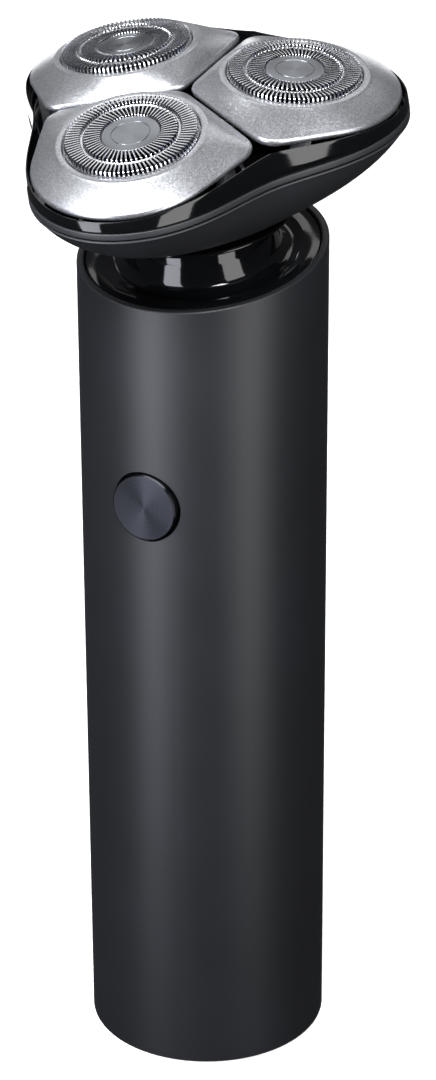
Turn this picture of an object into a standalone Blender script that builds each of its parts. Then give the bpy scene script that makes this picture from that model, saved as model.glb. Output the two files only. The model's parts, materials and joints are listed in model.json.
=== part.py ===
"""Rotary electric shaver: a round handle with an obliquely cut top, and a head with three shaving pods.

All sizes are in millimetres and become metres when a mesh is made. +Z is up, -Y is the front (the side
with the button), and the origin is the centre of the flat base. Three frames are used:
  the handle frame, upright on the base;
  the head frame, at the middle of the oblique rim, with +Z along the head's axis;
  a pod frame for each pod, at the ball that drives its cutter: +X runs outward and +Z through the cap.
"""
from math import atan2, cos, pi, radians, sin, sqrt, tan

import bmesh
import bpy
from mathutils import Matrix, Vector

MM = 0.001
CLEARANCE = 0.3            # between pieces that touch
ROUND_STEPS = 32           # sides of the large turned pieces
MEDIUM_STEPS = 20          # sides of the motor, the cell and the button
SMALL_STEPS = 10           # sides of screws, shafts and bosses

# Handle
BODY_RADIUS = 20.0
BODY_WALL = 1.2
RIM_HEIGHT = 140.0         # on the axis; the rim is cut obliquely
RIM_TILT = radians(11.7)
RIM_CHAMFER = 0.25
BASE_CHAMFER = 0.5
CAP_THICKNESS = 3.0        # bottom cap's plate
CAP_SKIRT_TOP = 7.0
CAP_SKIRT = 1.2
SCREW_SIDE = 10.0          # bottom screws, sideways and behind the axis
SCREW_BACK = 6.0
SCREW_SHANK = 1.2
SCREW_HEAD = 2.2
SCREW_SINK = 0.6           # screw heads sit this far inside the base
SEAL_SECTION = 0.42        # radius of the bottom seal's section
SEAL_HEIGHT = 4.9
CHASSIS_BOTTOM = 9.0
CHASSIS_TOP = 93.0
CHASSIS_WALL = 1.5
SHELF_THICKNESS = 2.0
ARM_REACH = 130.6          # height of the arms that carry the motor mount
ARM_GAP = 3.4              # motor can to arm
ARM_THICKNESS = 2.6
ARM_HALF = 4.0             # half an arm's width
TUBE_BORE = BODY_RADIUS - BODY_WALL
FIT_RADIUS = TUBE_BORE - CLEARANCE

# Button
BUTTON_HEIGHT = 102.6
BUTTON_RADIUS = 5.6
BUTTON_GAP = 0.35
BUTTON_PROUD = 0.4
BUTTON_FLANGE = 1.2
BUTTON_TRAVEL = 0.5
BUTTON_CHAMFER = 0.35
GUIDE_WALL = 1.2
PLUNGER_RADIUS = 1.5
PLUNGER_LENGTH = 0.5
SWITCH_RADIUS = 3.0
SWITCH_GAP = 0.15

# Electrics
BOARD_WIDTH = 22.0
BOARD_THICKNESS = 1.2
BOARD_BACK = -10.4         # y of the board's rear face
BOARD_BOTTOM = 4.0
BOARD_TOP = 122.0
CELL_RADIUS = 7.0
CELL_LENGTH = 48.5
CELL_BOTTOM = 39.0
CELL_BACK = 0.5            # y of the cell's axis
CELL_EDGE = 0.4
CELL_PIP = 0.8             # height of the cell's positive pip
CELL_PIP_RADIUS = 2.6
TAB_THICKNESS = 0.5
TAB_HALF = 2.5
CHIP_SIZE = 6.0
CHIP_BOTTOM = 60.0
CHIP_THICKNESS = 1.0
SOCKET_WIDTH = 9.0
SOCKET_DEPTH = 3.3
SOCKET_HEIGHT = 7.4
SOCKET_BOTTOM = 0.9
SOCKET_WALL = 0.35
TONGUE_MARGIN = 1.5
TONGUE_HALF = 0.35

# Motor and drive, heights along the head's axis
MOTOR_RADIUS = 10.2
MOTOR_TOP = -8.2
MOTOR_LENGTH = 25.8
SHAFT_RADIUS = 1.0
MOTOR_EDGE = 0.8
MOTOR_BOSS = 3.0           # radius of the motor's front bearing boss
MOTOR_BOSS_HEIGHT = 1.4
MOTOR_SCREW = 6.5          # motor screws, each side of the shaft
MOTOR_SCREW_SHANK = 0.8
MOTOR_SCREW_HEAD = 1.6
MOTOR_SCREW_DEPTH = 2.2
MOUNT_RADIUS = 16.5
MOUNT_TOP = -5.7
MOUNT_THICKNESS = 2.0
SHAFT_IN_DOG = 4.2
DOG_WEB = 1.0              # between the shaft's bore and the hexagonal socket
DOG_RADIUS = 3.6
DOG_BOTTOM = -1.5
DOG_TOP = 8.0
HEX_SOCKET = 2.5           # flat-to-centre of the drive dog's socket
HEX_STEM = 1.9             # corner radius of the centre gear's stem

# Collar and head seat, along the head's axis
NECK_RADIUS = 11.0
NECK_BORE = 9.3
NECK_TOP = 5.6
NECK_FLOOR = 1.6
COLLAR_BORE = 5.0
COLLAR_UNDER = -6.0
RIM_STEP = -0.35           # the collar's flat lip lies this far below the rim
SEAL_BOTTOM = -0.6
SEAL_TOP = 1.2
SPIGOT_BOTTOM = 2.0
SPIGOT_WALL = 1.6
RING_RADIUS = 15.6
RING_BOTTOM = 6.7
RING_THICKNESS = 0.6
GIMBAL_HEIGHT = 9.4
GIMBAL_RADIUS = 12.5
GIMBAL_WALL = 1.6
GIMBAL_DEPTH = 1.6
TRUNNION_RADIUS = 0.7
TRUNNION_REACH = 1.1       # how far the trunnions stand out of the ring
EAR_WALL = 0.9
EAR_HALF = 1.5
BOSS_HALF = 1.6

# Head shell: a round foot that opens to a three-lobed seam
GEAR_CENTRES = 16.25       # head axis to each cutter spindle
FOOT_RADIUS = 15.4
FOOT_HEIGHT = 8.6
SEAM_HEIGHT = 20.07
SEAM_MEAN = 1.787 * GEAR_CENTRES
SEAM_LOBE = 5.15
BOWL_ROUND = 0.5           # 0 is a straight flare, 1 a quarter round
SHELL_WALL = 1.3
LIP_WALL = 0.45
LIP_DEPTH = 1.5
OUTLINE_STEPS = 36
SEAM_GAP = 0.3             # the dark line between shell and frame ring
FRAME_RING_HEIGHT = 1.0
DECK_BOTTOM = 19.0
DECK_THICKNESS = 1.2
DECK_WALL = 0.6
DECK_SHOULDER = 0.8        # step from the deck's lip to its inner wall
DECK_RISE = 3.35           # the deck's wall ends this far above the balls, on the pods' planes
DECK_EAR = 1.5
PIN_RADIUS = 0.6           # pins that the pods rock on

# Gear train
CENTRE_TEETH = 21
CUTTER_TEETH = 27
GEAR_BOTTOM = 14.0
GEAR_WIDTH = 2.0
PLATE_BOTTOM = 12.2
PLATE_THICKNESS = 1.5
POST_RADIUS = 2.0
POST_CENTRES = 14.0
HEAD_SCREW_SHANK = 0.9
HEAD_SCREW_HEAD = 1.6
JOURNAL_RADIUS = 2.3
STUB_RADIUS = 1.2
STEM_BOTTOM = 5.0
HUB_HEIGHT = 1.2
SPINDLE_COLLAR = 2.4
SPRING_RADIUS = 1.78
SPRING_WIRE = 0.22
SPRING_TURNS = 2.5
SPINDLE_RADIUS = 1.0
BALL_RADIUS = 1.6
BALL_HEIGHT = 22.0         # of the ball's centre, where a pod rocks

# Pods, heights above the ball's centre along the pod's own axis
POD_SPLAY = radians(7.0)
POD_ANGLES = {"front": radians(-90), "right": radians(30), "left": radians(150)}
POD_BOTTOM = 2.9
POD_SHOULDER = 4.1
POD_TOP = 6.5
POD_WALL = 1.1
POD_ARC = 15.3             # radius of the outer edge
POD_ARC_OUT = 1.3          # its centre, outward of the cap's
POD_CORNER = 3.45          # radius of the two corners
POD_CORNER_SIDE = 14.1
POD_EDGE = 14.1            # cap centre to the straight edge beside a neighbour
POD_TIP = 3.5              # radius of the inner tip
POD_RING = 11.5
POD_BORE = 10.7
POD_STEPS = 30
POD_SHEET = 1.0
LUG_HALF = 1.5
LUG_THICKNESS = 1.8
CAP_TOP = 7.3
CAP_RADIUS = 10.36
CAP_FLANGE = 11.7
CAP_SHEET = 0.95
CAP_WALL = 0.9
FLANGE_LOW = 4.4
FLANGE_HIGH = 5.2
GROOVE_IN = 7.2            # groove between the two tracks
GROOVE_OUT = 7.85
GROOVE_DEPTH = 0.35
OUTER_SLOTS = 18
INNER_SLOTS = 9
OUTER_SLOT_WIDTH = 0.7
INNER_SLOT_WIDTH = 0.5
HUB_RADIUS = 4.4
HUB_PIN = 1.2
RETAINER_IN = 9.8
RETAINER_OUT = 12.4
RETAINER_LOW = 3.2
RETAINER_HIGH = 4.1
CUTTER_RADIUS = 9.1
CUTTER_HUB = 3.0
CUTTER_LOW = 3.6
CUTTER_HIGH = 4.3
BLADES = 6
BLADE_THICKNESS = 0.5
LUG_SIDE = 15.1            # pod lug's middle, along the rocking axis


def clear_scene():
    for thing in list(bpy.data.objects):
        bpy.data.objects.remove(thing, do_unlink=True)


def material(name, colour, roughness, metallic=0.0):
    found = bpy.data.materials.get(name)
    if found:
        return found
    made = bpy.data.materials.new(name)
    made.use_nodes = True
    shader = made.node_tree.nodes["Principled BSDF"]
    shader.inputs["Base Color"].default_value = (*colour, 1.0)
    shader.inputs["Roughness"].default_value = roughness
    shader.inputs["Metallic"].default_value = metallic
    return made


def paint(kind):
    looks = {
        "satin black aluminium": ((0.016, 0.017, 0.019), 0.38, 0.6),
        "matte black plastic": ((0.03, 0.031, 0.034), 0.55, 0.0),
        "gloss black plastic": ((0.006, 0.006, 0.007), 0.08, 0.0),
        "satin silver paint": ((0.52, 0.53, 0.55), 0.3, 0.9),
        "polished steel": ((0.62, 0.62, 0.63), 0.16, 1.0),
        "brushed steel": ((0.5, 0.5, 0.51), 0.28, 1.0),
        "zinc plated steel": ((0.42, 0.42, 0.43), 0.35, 1.0),
        "brass": ((0.55, 0.4, 0.16), 0.3, 1.0),
        "black rubber": ((0.012, 0.012, 0.012), 0.8, 0.0),
        "grey nylon": ((0.3, 0.3, 0.29), 0.5, 0.0),
        "white acetal": ((0.75, 0.75, 0.72), 0.4, 0.0),
        "green board": ((0.02, 0.12, 0.05), 0.4, 0.0),
        "cell wrap": ((0.04, 0.12, 0.34), 0.35, 0.0),
    }
    colour, roughness, metallic = looks[kind]
    return material(kind, colour, roughness, metallic)


def empty(name, parent=None, location=(0, 0, 0), rotation=(0, 0, 0)):
    made = bpy.data.objects.new(name, None)
    bpy.context.scene.collection.objects.link(made)
    made.parent = parent
    made.location = Vector(location) * MM
    made.rotation_euler = rotation
    return made


def finish_object(name, bm, kind, parent, smooth=True):
    """Close off a bmesh built in millimetres as a named object."""
    bmesh.ops.scale(bm, vec=(MM, MM, MM), verts=bm.verts)
    bmesh.ops.recalc_face_normals(bm, faces=bm.faces)
    mesh = bpy.data.meshes.new(name)
    bm.to_mesh(mesh)
    bm.free()
    if smooth:
        mesh.shade_smooth()
        mesh.set_sharp_from_angle(angle=radians(35))
    made = bpy.data.objects.new(name, mesh)
    bpy.context.scene.collection.objects.link(made)
    made.parent = parent
    if kind:
        made.data.materials.append(paint(kind))
    return made


def add_loft(bm, loops, closed):
    """Skin between loops of equal length; a closed loft joins its last loop to its first."""
    rows = [[bm.verts.new(point) for point in loop] for loop in loops]
    pairs = list(zip(rows, rows[1:]))
    if closed:
        pairs.append((rows[-1], rows[0]))
    count = len(rows[0])
    for low, high in pairs:
        for i in range(count):
            j = (i + 1) % count
            bm.faces.new((low[i], low[j], high[j], high[i]))
    if not closed:
        bm.faces.new(rows[0])
        bm.faces.new(rows[-1])


def loft(name, loops, kind, parent, closed=False):
    bm = bmesh.new()
    add_loft(bm, loops, closed)
    return finish_object(name, bm, kind, parent)


def circle(radius, height, steps, centre=(0.0, 0.0), phase=0.0):
    return [(centre[0] + radius * cos(2 * pi * i / steps + phase),
             centre[1] + radius * sin(2 * pi * i / steps + phase), height) for i in range(steps)]


def turned(name, profile, kind, parent, steps=ROUND_STEPS, ring=False, centre=(0.0, 0.0)):
    """A turned piece from (radius, height) points: a ring's profile closes on itself."""
    return loft(name, [circle(r, z, steps, centre) for r, z in profile], kind, parent, closed=ring)


def add_box(bm, low, high, turn=None):
    corners = [(x, y) for x, y in ((low[0], low[1]), (high[0], low[1]), (high[0], high[1]), (low[0], high[1]))]
    loops = [[Vector((x, y, z)) for x, y in corners] for z in (low[2], high[2])]
    if turn:
        loops = [[turn @ point for point in loop] for loop in loops]
    add_loft(bm, loops, False)


def box(name, low, high, kind, parent):
    bm = bmesh.new()
    add_box(bm, low, high)
    return finish_object(name, bm, kind, parent, smooth=False)


def add_rod(bm, start, end, radius, steps=SMALL_STEPS):
    """A plain cylinder between two points."""
    start, end = Vector(start), Vector(end)
    turn = (end - start).to_track_quat("Z", "Y").to_matrix()
    loops = []
    for at in (start, end):
        loops.append([at + turn @ Vector(p) for p in circle(radius, 0.0, steps)])
    add_loft(bm, loops, False)


def combine(target, tool, operation):
    """A Boolean on the target with a hidden tool object."""
    tool.hide_render = True
    tool.display_type = "WIRE"
    step = target.modifiers.new(operation.title(), "BOOLEAN")
    step.operation = operation
    step.object = tool
    step.use_self = True
    return target


def cut_rods(target, name, parent, rods):
    """Drill (start, end, radius) holes through the target."""
    bm = bmesh.new()
    for start, end, radius in rods:
        add_rod(bm, start, end, radius)
    return combine(target, finish_object(name, bm, None, parent), "DIFFERENCE")


def rim_height(y):
    """Height of the oblique rim plane above the base."""
    return RIM_HEIGHT + y * tan(RIM_TILT)


# ---------------------------------------------------------------- handle

def body_tube():
    """The tube, cut square at the base and obliquely at the rim, with the button's hole."""
    outline = (
        (BODY_RADIUS - BASE_CHAMFER, 0.0), (BODY_RADIUS, BASE_CHAMFER), (BODY_RADIUS, -RIM_CHAMFER),
        (BODY_RADIUS - RIM_CHAMFER, None), (TUBE_BORE + RIM_CHAMFER, None), (TUBE_BORE, -RIM_CHAMFER),
        (TUBE_BORE, 0.0))
    loops = []
    for radius, height in outline:
        loop = []
        for x, y, _ in circle(radius, 0.0, ROUND_STEPS):
            at_rim = height is None or height < 0
            loop.append((x, y, rim_height(y) + (height or 0.0) if at_rim else height))
        loops.append(loop)
    tube = loft("body_tube", loops, "satin black aluminium", None, closed=True)
    hole = BUTTON_RADIUS + BUTTON_GAP
    start, end = (0, -BODY_RADIUS - 2, BUTTON_HEIGHT), (0, -TUBE_BORE + 4, BUTTON_HEIGHT)
    return cut_rods(tube, "button_hole", None, [(start, end, hole)])


def bottom_cap():
    groove_in = TUBE_BORE - 2 * SEAL_SECTION - 2 * CLEARANCE - 0.1
    half = SEAL_SECTION + CLEARANCE
    skirt_in = groove_in - CAP_SKIRT
    profile = [
        (FIT_RADIUS, 0.0), (FIT_RADIUS, SEAL_HEIGHT - half), (groove_in, SEAL_HEIGHT - half),
        (groove_in, SEAL_HEIGHT + half), (FIT_RADIUS, SEAL_HEIGHT + half), (FIT_RADIUS, CAP_SKIRT_TOP),
        (skirt_in, CAP_SKIRT_TOP), (skirt_in, CAP_THICKNESS)]
    cap = turned("bottom_cap", profile, "matte black plastic", None)
    bm = bmesh.new()
    add_box(bm, (-SOCKET_WIDTH / 2 - CLEARANCE, socket_front() - CLEARANCE, -1.0),
            (SOCKET_WIDTH / 2 + CLEARANCE, socket_front() + SOCKET_DEPTH + CLEARANCE, CAP_THICKNESS + 1))
    for side in (-1, 1):
        x, y = side * SCREW_SIDE, SCREW_BACK
        add_rod(bm, (x, y, -1.0), (x, y, CAP_THICKNESS + 1), SCREW_SHANK + CLEARANCE)
        add_rod(bm, (x, y, -1.0), (x, y, 2.0), SCREW_HEAD + CLEARANCE)
    return combine(cap, finish_object("cap_cuts", bm, None, None), "DIFFERENCE")


def socket_front():
    return BOARD_BACK + CLEARANCE


def bottom_seal():
    middle = TUBE_BORE - CLEARANCE - SEAL_SECTION
    loops = [circle(middle + SEAL_SECTION * cos(a), SEAL_HEIGHT + SEAL_SECTION * sin(a), ROUND_STEPS)
             for a in (pi / 4 + pi * i / 2 for i in range(4))]
    loft("bottom_seal", loops, "black rubber", None, closed=True)


def screw(name, parent, x, y, head_low, head_high, tip, shank, head, kind="zinc plated steel"):
    """A pan-head screw along Z: its head's two faces and its tip's height set which way it points."""
    under = head_high if tip > head_high else head_low
    over = head_low if tip > head_high else head_high
    profile = [(head, over), (head, under), (shank, under), (shank, tip)]
    return turned(name, profile, kind, parent, steps=SMALL_STEPS, centre=(x, y))


def bottom_screws():
    for name, side in (("left", -1), ("right", 1)):
        screw("bottom_screw_" + name, None, side * SCREW_SIDE, SCREW_BACK,
              SCREW_SINK, SCREW_SINK + 1.1, CHASSIS_BOTTOM + 5.0, SCREW_SHANK, SCREW_HEAD)


def half_disc(radius, front, low, high):
    """Loops for a plate: a round back and a straight front edge at y = front."""
    start = -atan2(-front, sqrt(radius * radius - front * front))
    sweep = pi - 2 * start
    count = ROUND_STEPS // 2
    angles = [start + sweep * i / count for i in range(count + 1)]
    return [[(radius * cos(a), radius * sin(a), z) for a in angles] for z in (low, high)]


def chassis():
    """The inner carrier: an open-fronted channel with shelves, and two arms up to the motor mount."""
    outer = FIT_RADIUS - 0.9
    inner = outer - CHASSIS_WALL
    front = BOARD_BACK + CLEARANCE
    frame = loft("chassis", half_disc(outer, front, CHASSIS_BOTTOM, CHASSIS_TOP), "grey nylon", None)
    bm = bmesh.new()
    shelves = (CHASSIS_BOTTOM + SHELF_THICKNESS, CELL_BOTTOM - 1.6 - SHELF_THICKNESS,
               CELL_BOTTOM - 1.6, CHASSIS_TOP - SHELF_THICKNESS)
    for low, high in ((shelves[0], shelves[1]), (shelves[2], shelves[3])):
        add_loft(bm, half_disc(inner, front - 5, low, high), False)
    for side in (-1, 1):
        at = (side * SCREW_SIDE, SCREW_BACK)
        add_rod(bm, (*at, CHASSIS_BOTTOM - 1), (*at, CHASSIS_BOTTOM + SHELF_THICKNESS + 1),
                SCREW_SHANK + CLEARANCE)
    combine(frame, finish_object("chassis_hollow", bm, None, None), "DIFFERENCE")
    bm = bmesh.new()
    for side in (-1, 1):
        inside = MOTOR_RADIUS + ARM_GAP
        ends = sorted((side * inside, side * (inside + ARM_THICKNESS)))
        add_box(bm, (ends[0], -ARM_HALF, CHASSIS_TOP - 1.0), (ends[1], ARM_HALF, ARM_REACH))
    return combine(frame, finish_object("chassis_arms", bm, None, None), "UNION")


def battery():
    """A round cell between two shelves, with a spring tab at each end."""
    top = CELL_BOTTOM + CELL_LENGTH
    narrow = CELL_RADIUS - CELL_EDGE
    turned("battery_cell", [(narrow, CELL_BOTTOM), (CELL_RADIUS, CELL_BOTTOM + CELL_EDGE),
                            (CELL_RADIUS, top - CELL_EDGE), (narrow, top), (CELL_PIP_RADIUS, top),
                            (CELL_PIP_RADIUS, top + CELL_PIP)],
           "cell wrap", None, steps=MEDIUM_STEPS, centre=(0.0, CELL_BACK))
    lows = (("bottom", CELL_BOTTOM - CLEARANCE - TAB_THICKNESS), ("top", top + CELL_PIP + CLEARANCE))
    for name, low in lows:
        box("battery_tab_" + name, (-TAB_HALF, BOARD_BACK + CLEARANCE, low),
            (TAB_HALF, CELL_BACK + CELL_PIP_RADIUS, low + TAB_THICKNESS), "zinc plated steel", None)


def circuit_board():
    front = BOARD_BACK - BOARD_THICKNESS
    half = BOARD_WIDTH / 2
    box("circuit_board", (-half, front, BOARD_BOTTOM), (half, BOARD_BACK, BOARD_TOP), "green board", None)
    chip = CHIP_SIZE / 2
    box("control_chip", (-chip, front - CLEARANCE - CHIP_THICKNESS, CHIP_BOTTOM),
        (chip, front - CLEARANCE, CHIP_BOTTOM + CHIP_SIZE), "matte black plastic", None)


def usb_socket():
    """A metal shell that opens through the base, with a contact tongue standing in it."""
    side = SOCKET_WIDTH / 2
    near, far = socket_front(), socket_front() + SOCKET_DEPTH
    middle = (near + far) / 2
    high = SOCKET_BOTTOM + SOCKET_HEIGHT
    socket = box("usb_socket", (-side, near, SOCKET_BOTTOM), (side, far, high), "zinc plated steel", None)
    bm = bmesh.new()
    add_box(bm, (-side + SOCKET_WALL, near + SOCKET_WALL, SOCKET_BOTTOM - 1),
            (side - SOCKET_WALL, far - SOCKET_WALL, high - 1.2))
    combine(socket, finish_object("socket_mouth", bm, None, None), "DIFFERENCE")
    bm = bmesh.new()
    tongue = side - TONGUE_MARGIN
    add_box(bm, (-tongue, middle - TONGUE_HALF, SOCKET_BOTTOM + 1.2),
            (tongue, middle + TONGUE_HALF, high - 1.0))
    combine(socket, finish_object("socket_tongue", bm, None, None), "UNION")


def button():
    """The pressed disc, its guide behind the tube's wall, and the switch it pushes."""
    face = -BODY_RADIUS - BUTTON_PROUD
    flange_radius = BUTTON_RADIUS + BUTTON_FLANGE
    flange_front = -sqrt(TUBE_BORE ** 2 - flange_radius ** 2) + CLEARANCE
    hub = empty("button_axis", location=(0, face, BUTTON_HEIGHT), rotation=(-pi / 2, 0, 0))
    depth = flange_front - face
    back = depth + 1.0
    tip = back + PLUNGER_LENGTH
    turned("button_cap", [(BUTTON_RADIUS - BUTTON_CHAMFER, 0.0), (BUTTON_RADIUS, BUTTON_CHAMFER),
                          (BUTTON_RADIUS, depth), (flange_radius, depth), (flange_radius, back),
                          (PLUNGER_RADIUS, back), (PLUNGER_RADIUS, tip)],
           "brushed steel", hub, steps=MEDIUM_STEPS)
    guide_in = flange_radius + CLEARANCE
    guide_out = guide_in + GUIDE_WALL
    guide_front = -sqrt(TUBE_BORE ** 2 - guide_out ** 2) + CLEARANCE - face
    guide_back = BOARD_BACK - BOARD_THICKNESS - CLEARANCE - face
    turned("button_guide", [(guide_in, guide_front), (guide_out, guide_front), (guide_out, guide_back),
                            (guide_in, guide_back)], "matte black plastic", hub, steps=MEDIUM_STEPS, ring=True)
    switch_top = tip + BUTTON_TRAVEL + SWITCH_GAP
    turned("tact_switch", [(SWITCH_RADIUS, guide_back), (SWITCH_RADIUS, switch_top + 1.0),
                           (PLUNGER_RADIUS, switch_top + 1.0), (PLUNGER_RADIUS, switch_top)],
           "matte black plastic", hub, steps=SMALL_STEPS)


# ---------------------------------------------------------------- drive, in the head frame

def motor(head):
    low = MOTOR_TOP - MOTOR_LENGTH
    shaft_low = MOTOR_TOP - 1.5
    narrow = MOTOR_RADIUS - MOTOR_EDGE
    can = turned("motor_can", [(narrow, low), (MOTOR_RADIUS, low + MOTOR_EDGE),
                               (MOTOR_RADIUS, MOTOR_TOP - MOTOR_EDGE), (narrow, MOTOR_TOP),
                               (MOTOR_BOSS, MOTOR_TOP), (MOTOR_BOSS, MOTOR_TOP + MOTOR_BOSS_HEIGHT)],
                 "zinc plated steel", head, steps=MEDIUM_STEPS)
    screw_hole = MOTOR_SCREW_SHANK + CLEARANCE
    screw_tip = MOTOR_TOP - MOTOR_SCREW_DEPTH
    rods = [((0, 0, shaft_low - CLEARANCE), (0, 0, MOTOR_TOP + 3), SHAFT_RADIUS + CLEARANCE)]
    for side in (-1, 1):
        x = side * MOTOR_SCREW
        rods.append(((x, 0, screw_tip - CLEARANCE), (x, 0, MOTOR_TOP + 1), screw_hole))
    cut_rods(can, "motor_holes", head, rods)
    bottom = MOUNT_TOP - MOUNT_THICKNESS
    mount = turned("motor_mount", [(MOUNT_RADIUS, bottom), (MOUNT_RADIUS, MOUNT_TOP)], "zinc plated steel", head)
    rods = [((0, 0, bottom - 1), (0, 0, MOUNT_TOP + 1), MOTOR_BOSS + CLEARANCE)]
    head_low = MOUNT_TOP + CLEARANCE
    for name, side in (("left", -1), ("right", 1)):
        x = side * MOTOR_SCREW
        rods.append(((x, 0, bottom - 1), (x, 0, MOUNT_TOP + 1), screw_hole))
        screw("motor_screw_" + name, head, x, 0.0, head_low, head_low + MOTOR_SCREW_SHANK, screw_tip,
              MOTOR_SCREW_SHANK, MOTOR_SCREW_HEAD)
    cut_rods(mount, "mount_holes", head, rods)
    shaft_top = DOG_BOTTOM + SHAFT_IN_DOG
    turned("motor_shaft", [(SHAFT_RADIUS, shaft_low), (SHAFT_RADIUS, shaft_top)], "polished steel", head,
           steps=SMALL_STEPS)
    dog = turned("drive_dog", [(DOG_RADIUS, DOG_BOTTOM), (DOG_RADIUS, DOG_TOP)], "white acetal", head,
                 steps=MEDIUM_STEPS)
    floor = shaft_top + CLEARANCE + DOG_WEB
    bm = bmesh.new()
    add_rod(bm, (0, 0, DOG_BOTTOM - 1), (0, 0, shaft_top + CLEARANCE), SHAFT_RADIUS + CLEARANCE)
    corner = HEX_SOCKET / cos(pi / 6)
    add_loft(bm, [circle(corner, z, 6) for z in (floor, DOG_TOP + 1)], False)
    combine(dog, finish_object("dog_cuts", bm, None, head), "DIFFERENCE")


def top_collar(head):
    """The glossy dish inside the rim, which sweeps up into the neck that the head plugs on."""
    wide = BODY_RADIUS + 1.5
    lip = FIT_RADIUS - 0.5
    low = RIM_STEP - 0.7
    profile = [
        (wide, RIM_STEP), (lip, RIM_STEP), (lip - 2.4, low), (lip - 4.4, low + 0.5),
        (NECK_RADIUS + 0.7, low + 3.0), (NECK_RADIUS, NECK_TOP), (NECK_BORE, NECK_TOP),
        (NECK_BORE, NECK_FLOOR), (COLLAR_BORE, NECK_FLOOR), (COLLAR_BORE, low - 1.2),
        (lip - 1.0, COLLAR_UNDER + 1.4), (lip - 1.0, COLLAR_UNDER), (wide, COLLAR_UNDER)]
    collar = turned("top_collar", profile, "gloss black plastic", head, ring=True)
    bm = bmesh.new()
    add_rod(bm, (0, 0, RIM_HEIGHT - 30), (0, 0, RIM_HEIGHT + 30), FIT_RADIUS, ROUND_STEPS)
    combine(collar, finish_object("collar_trim", bm, None, None), "INTERSECT")
    seal_in, seal_out = DOG_RADIUS + CLEARANCE, COLLAR_BORE - CLEARANCE
    turned("shaft_seal", [(seal_in, SEAL_BOTTOM), (seal_out, SEAL_BOTTOM), (seal_out, SEAL_TOP),
                          (seal_in, SEAL_TOP)], "black rubber", head, steps=MEDIUM_STEPS, ring=True)


# ---------------------------------------------------------------- head seat

def neck_ring(head):
    """The plug in the neck, its thin visible flange, and two ears that carry the gimbal."""
    top = RING_BOTTOM + RING_THICKNESS
    spigot = NECK_BORE - CLEARANCE
    bore = spigot - SPIGOT_WALL
    ring = turned("neck_ring", [(spigot, SPIGOT_BOTTOM), (spigot, RING_BOTTOM), (RING_RADIUS, RING_BOTTOM),
                                (RING_RADIUS, top), (bore, top), (bore, SPIGOT_BOTTOM)],
                  "gloss black plastic", head, ring=True)
    bm = bmesh.new()
    inside = GIMBAL_RADIUS + CLEARANCE
    for side in (-1, 1):
        ends = sorted((side * inside, side * (inside + EAR_WALL)))
        add_box(bm, (ends[0], -EAR_HALF, top - 0.2), (ends[1], EAR_HALF, GIMBAL_HEIGHT + EAR_HALF))
    combine(ring, finish_object("ring_ears", bm, None, head), "UNION")
    reach = inside + 2
    hole = TRUNNION_RADIUS + CLEARANCE
    cut_rods(ring, "ring_ear_holes", head, [((-reach, 0, GIMBAL_HEIGHT), (reach, 0, GIMBAL_HEIGHT), hole)])


def gimbal_ring(head):
    """A ring on two pairs of trunnions: across for one tilt, fore and aft for the other."""
    half = GIMBAL_DEPTH / 2
    low, high = GIMBAL_HEIGHT - half, GIMBAL_HEIGHT + half
    inner = GIMBAL_RADIUS - GIMBAL_WALL
    ring = turned("gimbal_ring", [(inner, low), (GIMBAL_RADIUS, low), (GIMBAL_RADIUS, high), (inner, high)],
                  "zinc plated steel", head, ring=True)
    bm = bmesh.new()
    reach = GIMBAL_RADIUS + TRUNNION_REACH
    start = GIMBAL_RADIUS - GIMBAL_WALL / 2
    for way in ((1, 0), (-1, 0), (0, 1), (0, -1)):
        add_rod(bm, (way[0] * start, way[1] * start, GIMBAL_HEIGHT),
                (way[0] * reach, way[1] * reach, GIMBAL_HEIGHT), TRUNNION_RADIUS)
    combine(ring, finish_object("gimbal_trunnions", bm, None, head), "UNION")


# ---------------------------------------------------------------- head shell and deck

def lobe_angle(angle):
    """Angle from the nearest lobe's middle; the lobes are 120 degrees apart, the first at the front."""
    return (angle + pi / 2 + pi / 3) % (2 * pi / 3) - pi / 3


def seam_radius(angle):
    return SEAM_MEAN + SEAM_LOBE * cos(3 * lobe_angle(angle))


def bowl_radius(angle, height):
    """Radius of the bowl's outside: the foot's circle grows into the seam's three lobes."""
    low, high = 0.0, 1.0
    target = (height - FOOT_HEIGHT) / (SEAM_HEIGHT - FOOT_HEIGHT)
    for _ in range(30):
        middle = (low + high) / 2
        rise = (1 - BOWL_ROUND) * middle + BOWL_ROUND * (1 - cos(middle * pi / 2))
        low, high = (middle, high) if rise < target else (low, middle)
    spread = (1 - BOWL_ROUND) * low + BOWL_ROUND * sin(low * pi / 2)
    return FOOT_RADIUS + (seam_radius(angle) - FOOT_RADIUS) * spread


def outline_loop(radius_at, height_at):
    loop = []
    for i in range(OUTLINE_STEPS):
        angle = 2 * pi * i / OUTLINE_STEPS - pi / 2
        radius = radius_at(angle)
        height = height_at(angle) if callable(height_at) else height_at
        loop.append((radius * cos(angle), radius * sin(angle), height))
    return loop


def inset_loop(inset, height):
    """A loop parallel to the seam, inset from it."""
    return outline_loop(lambda angle: seam_radius(angle) - inset, height)


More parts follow.
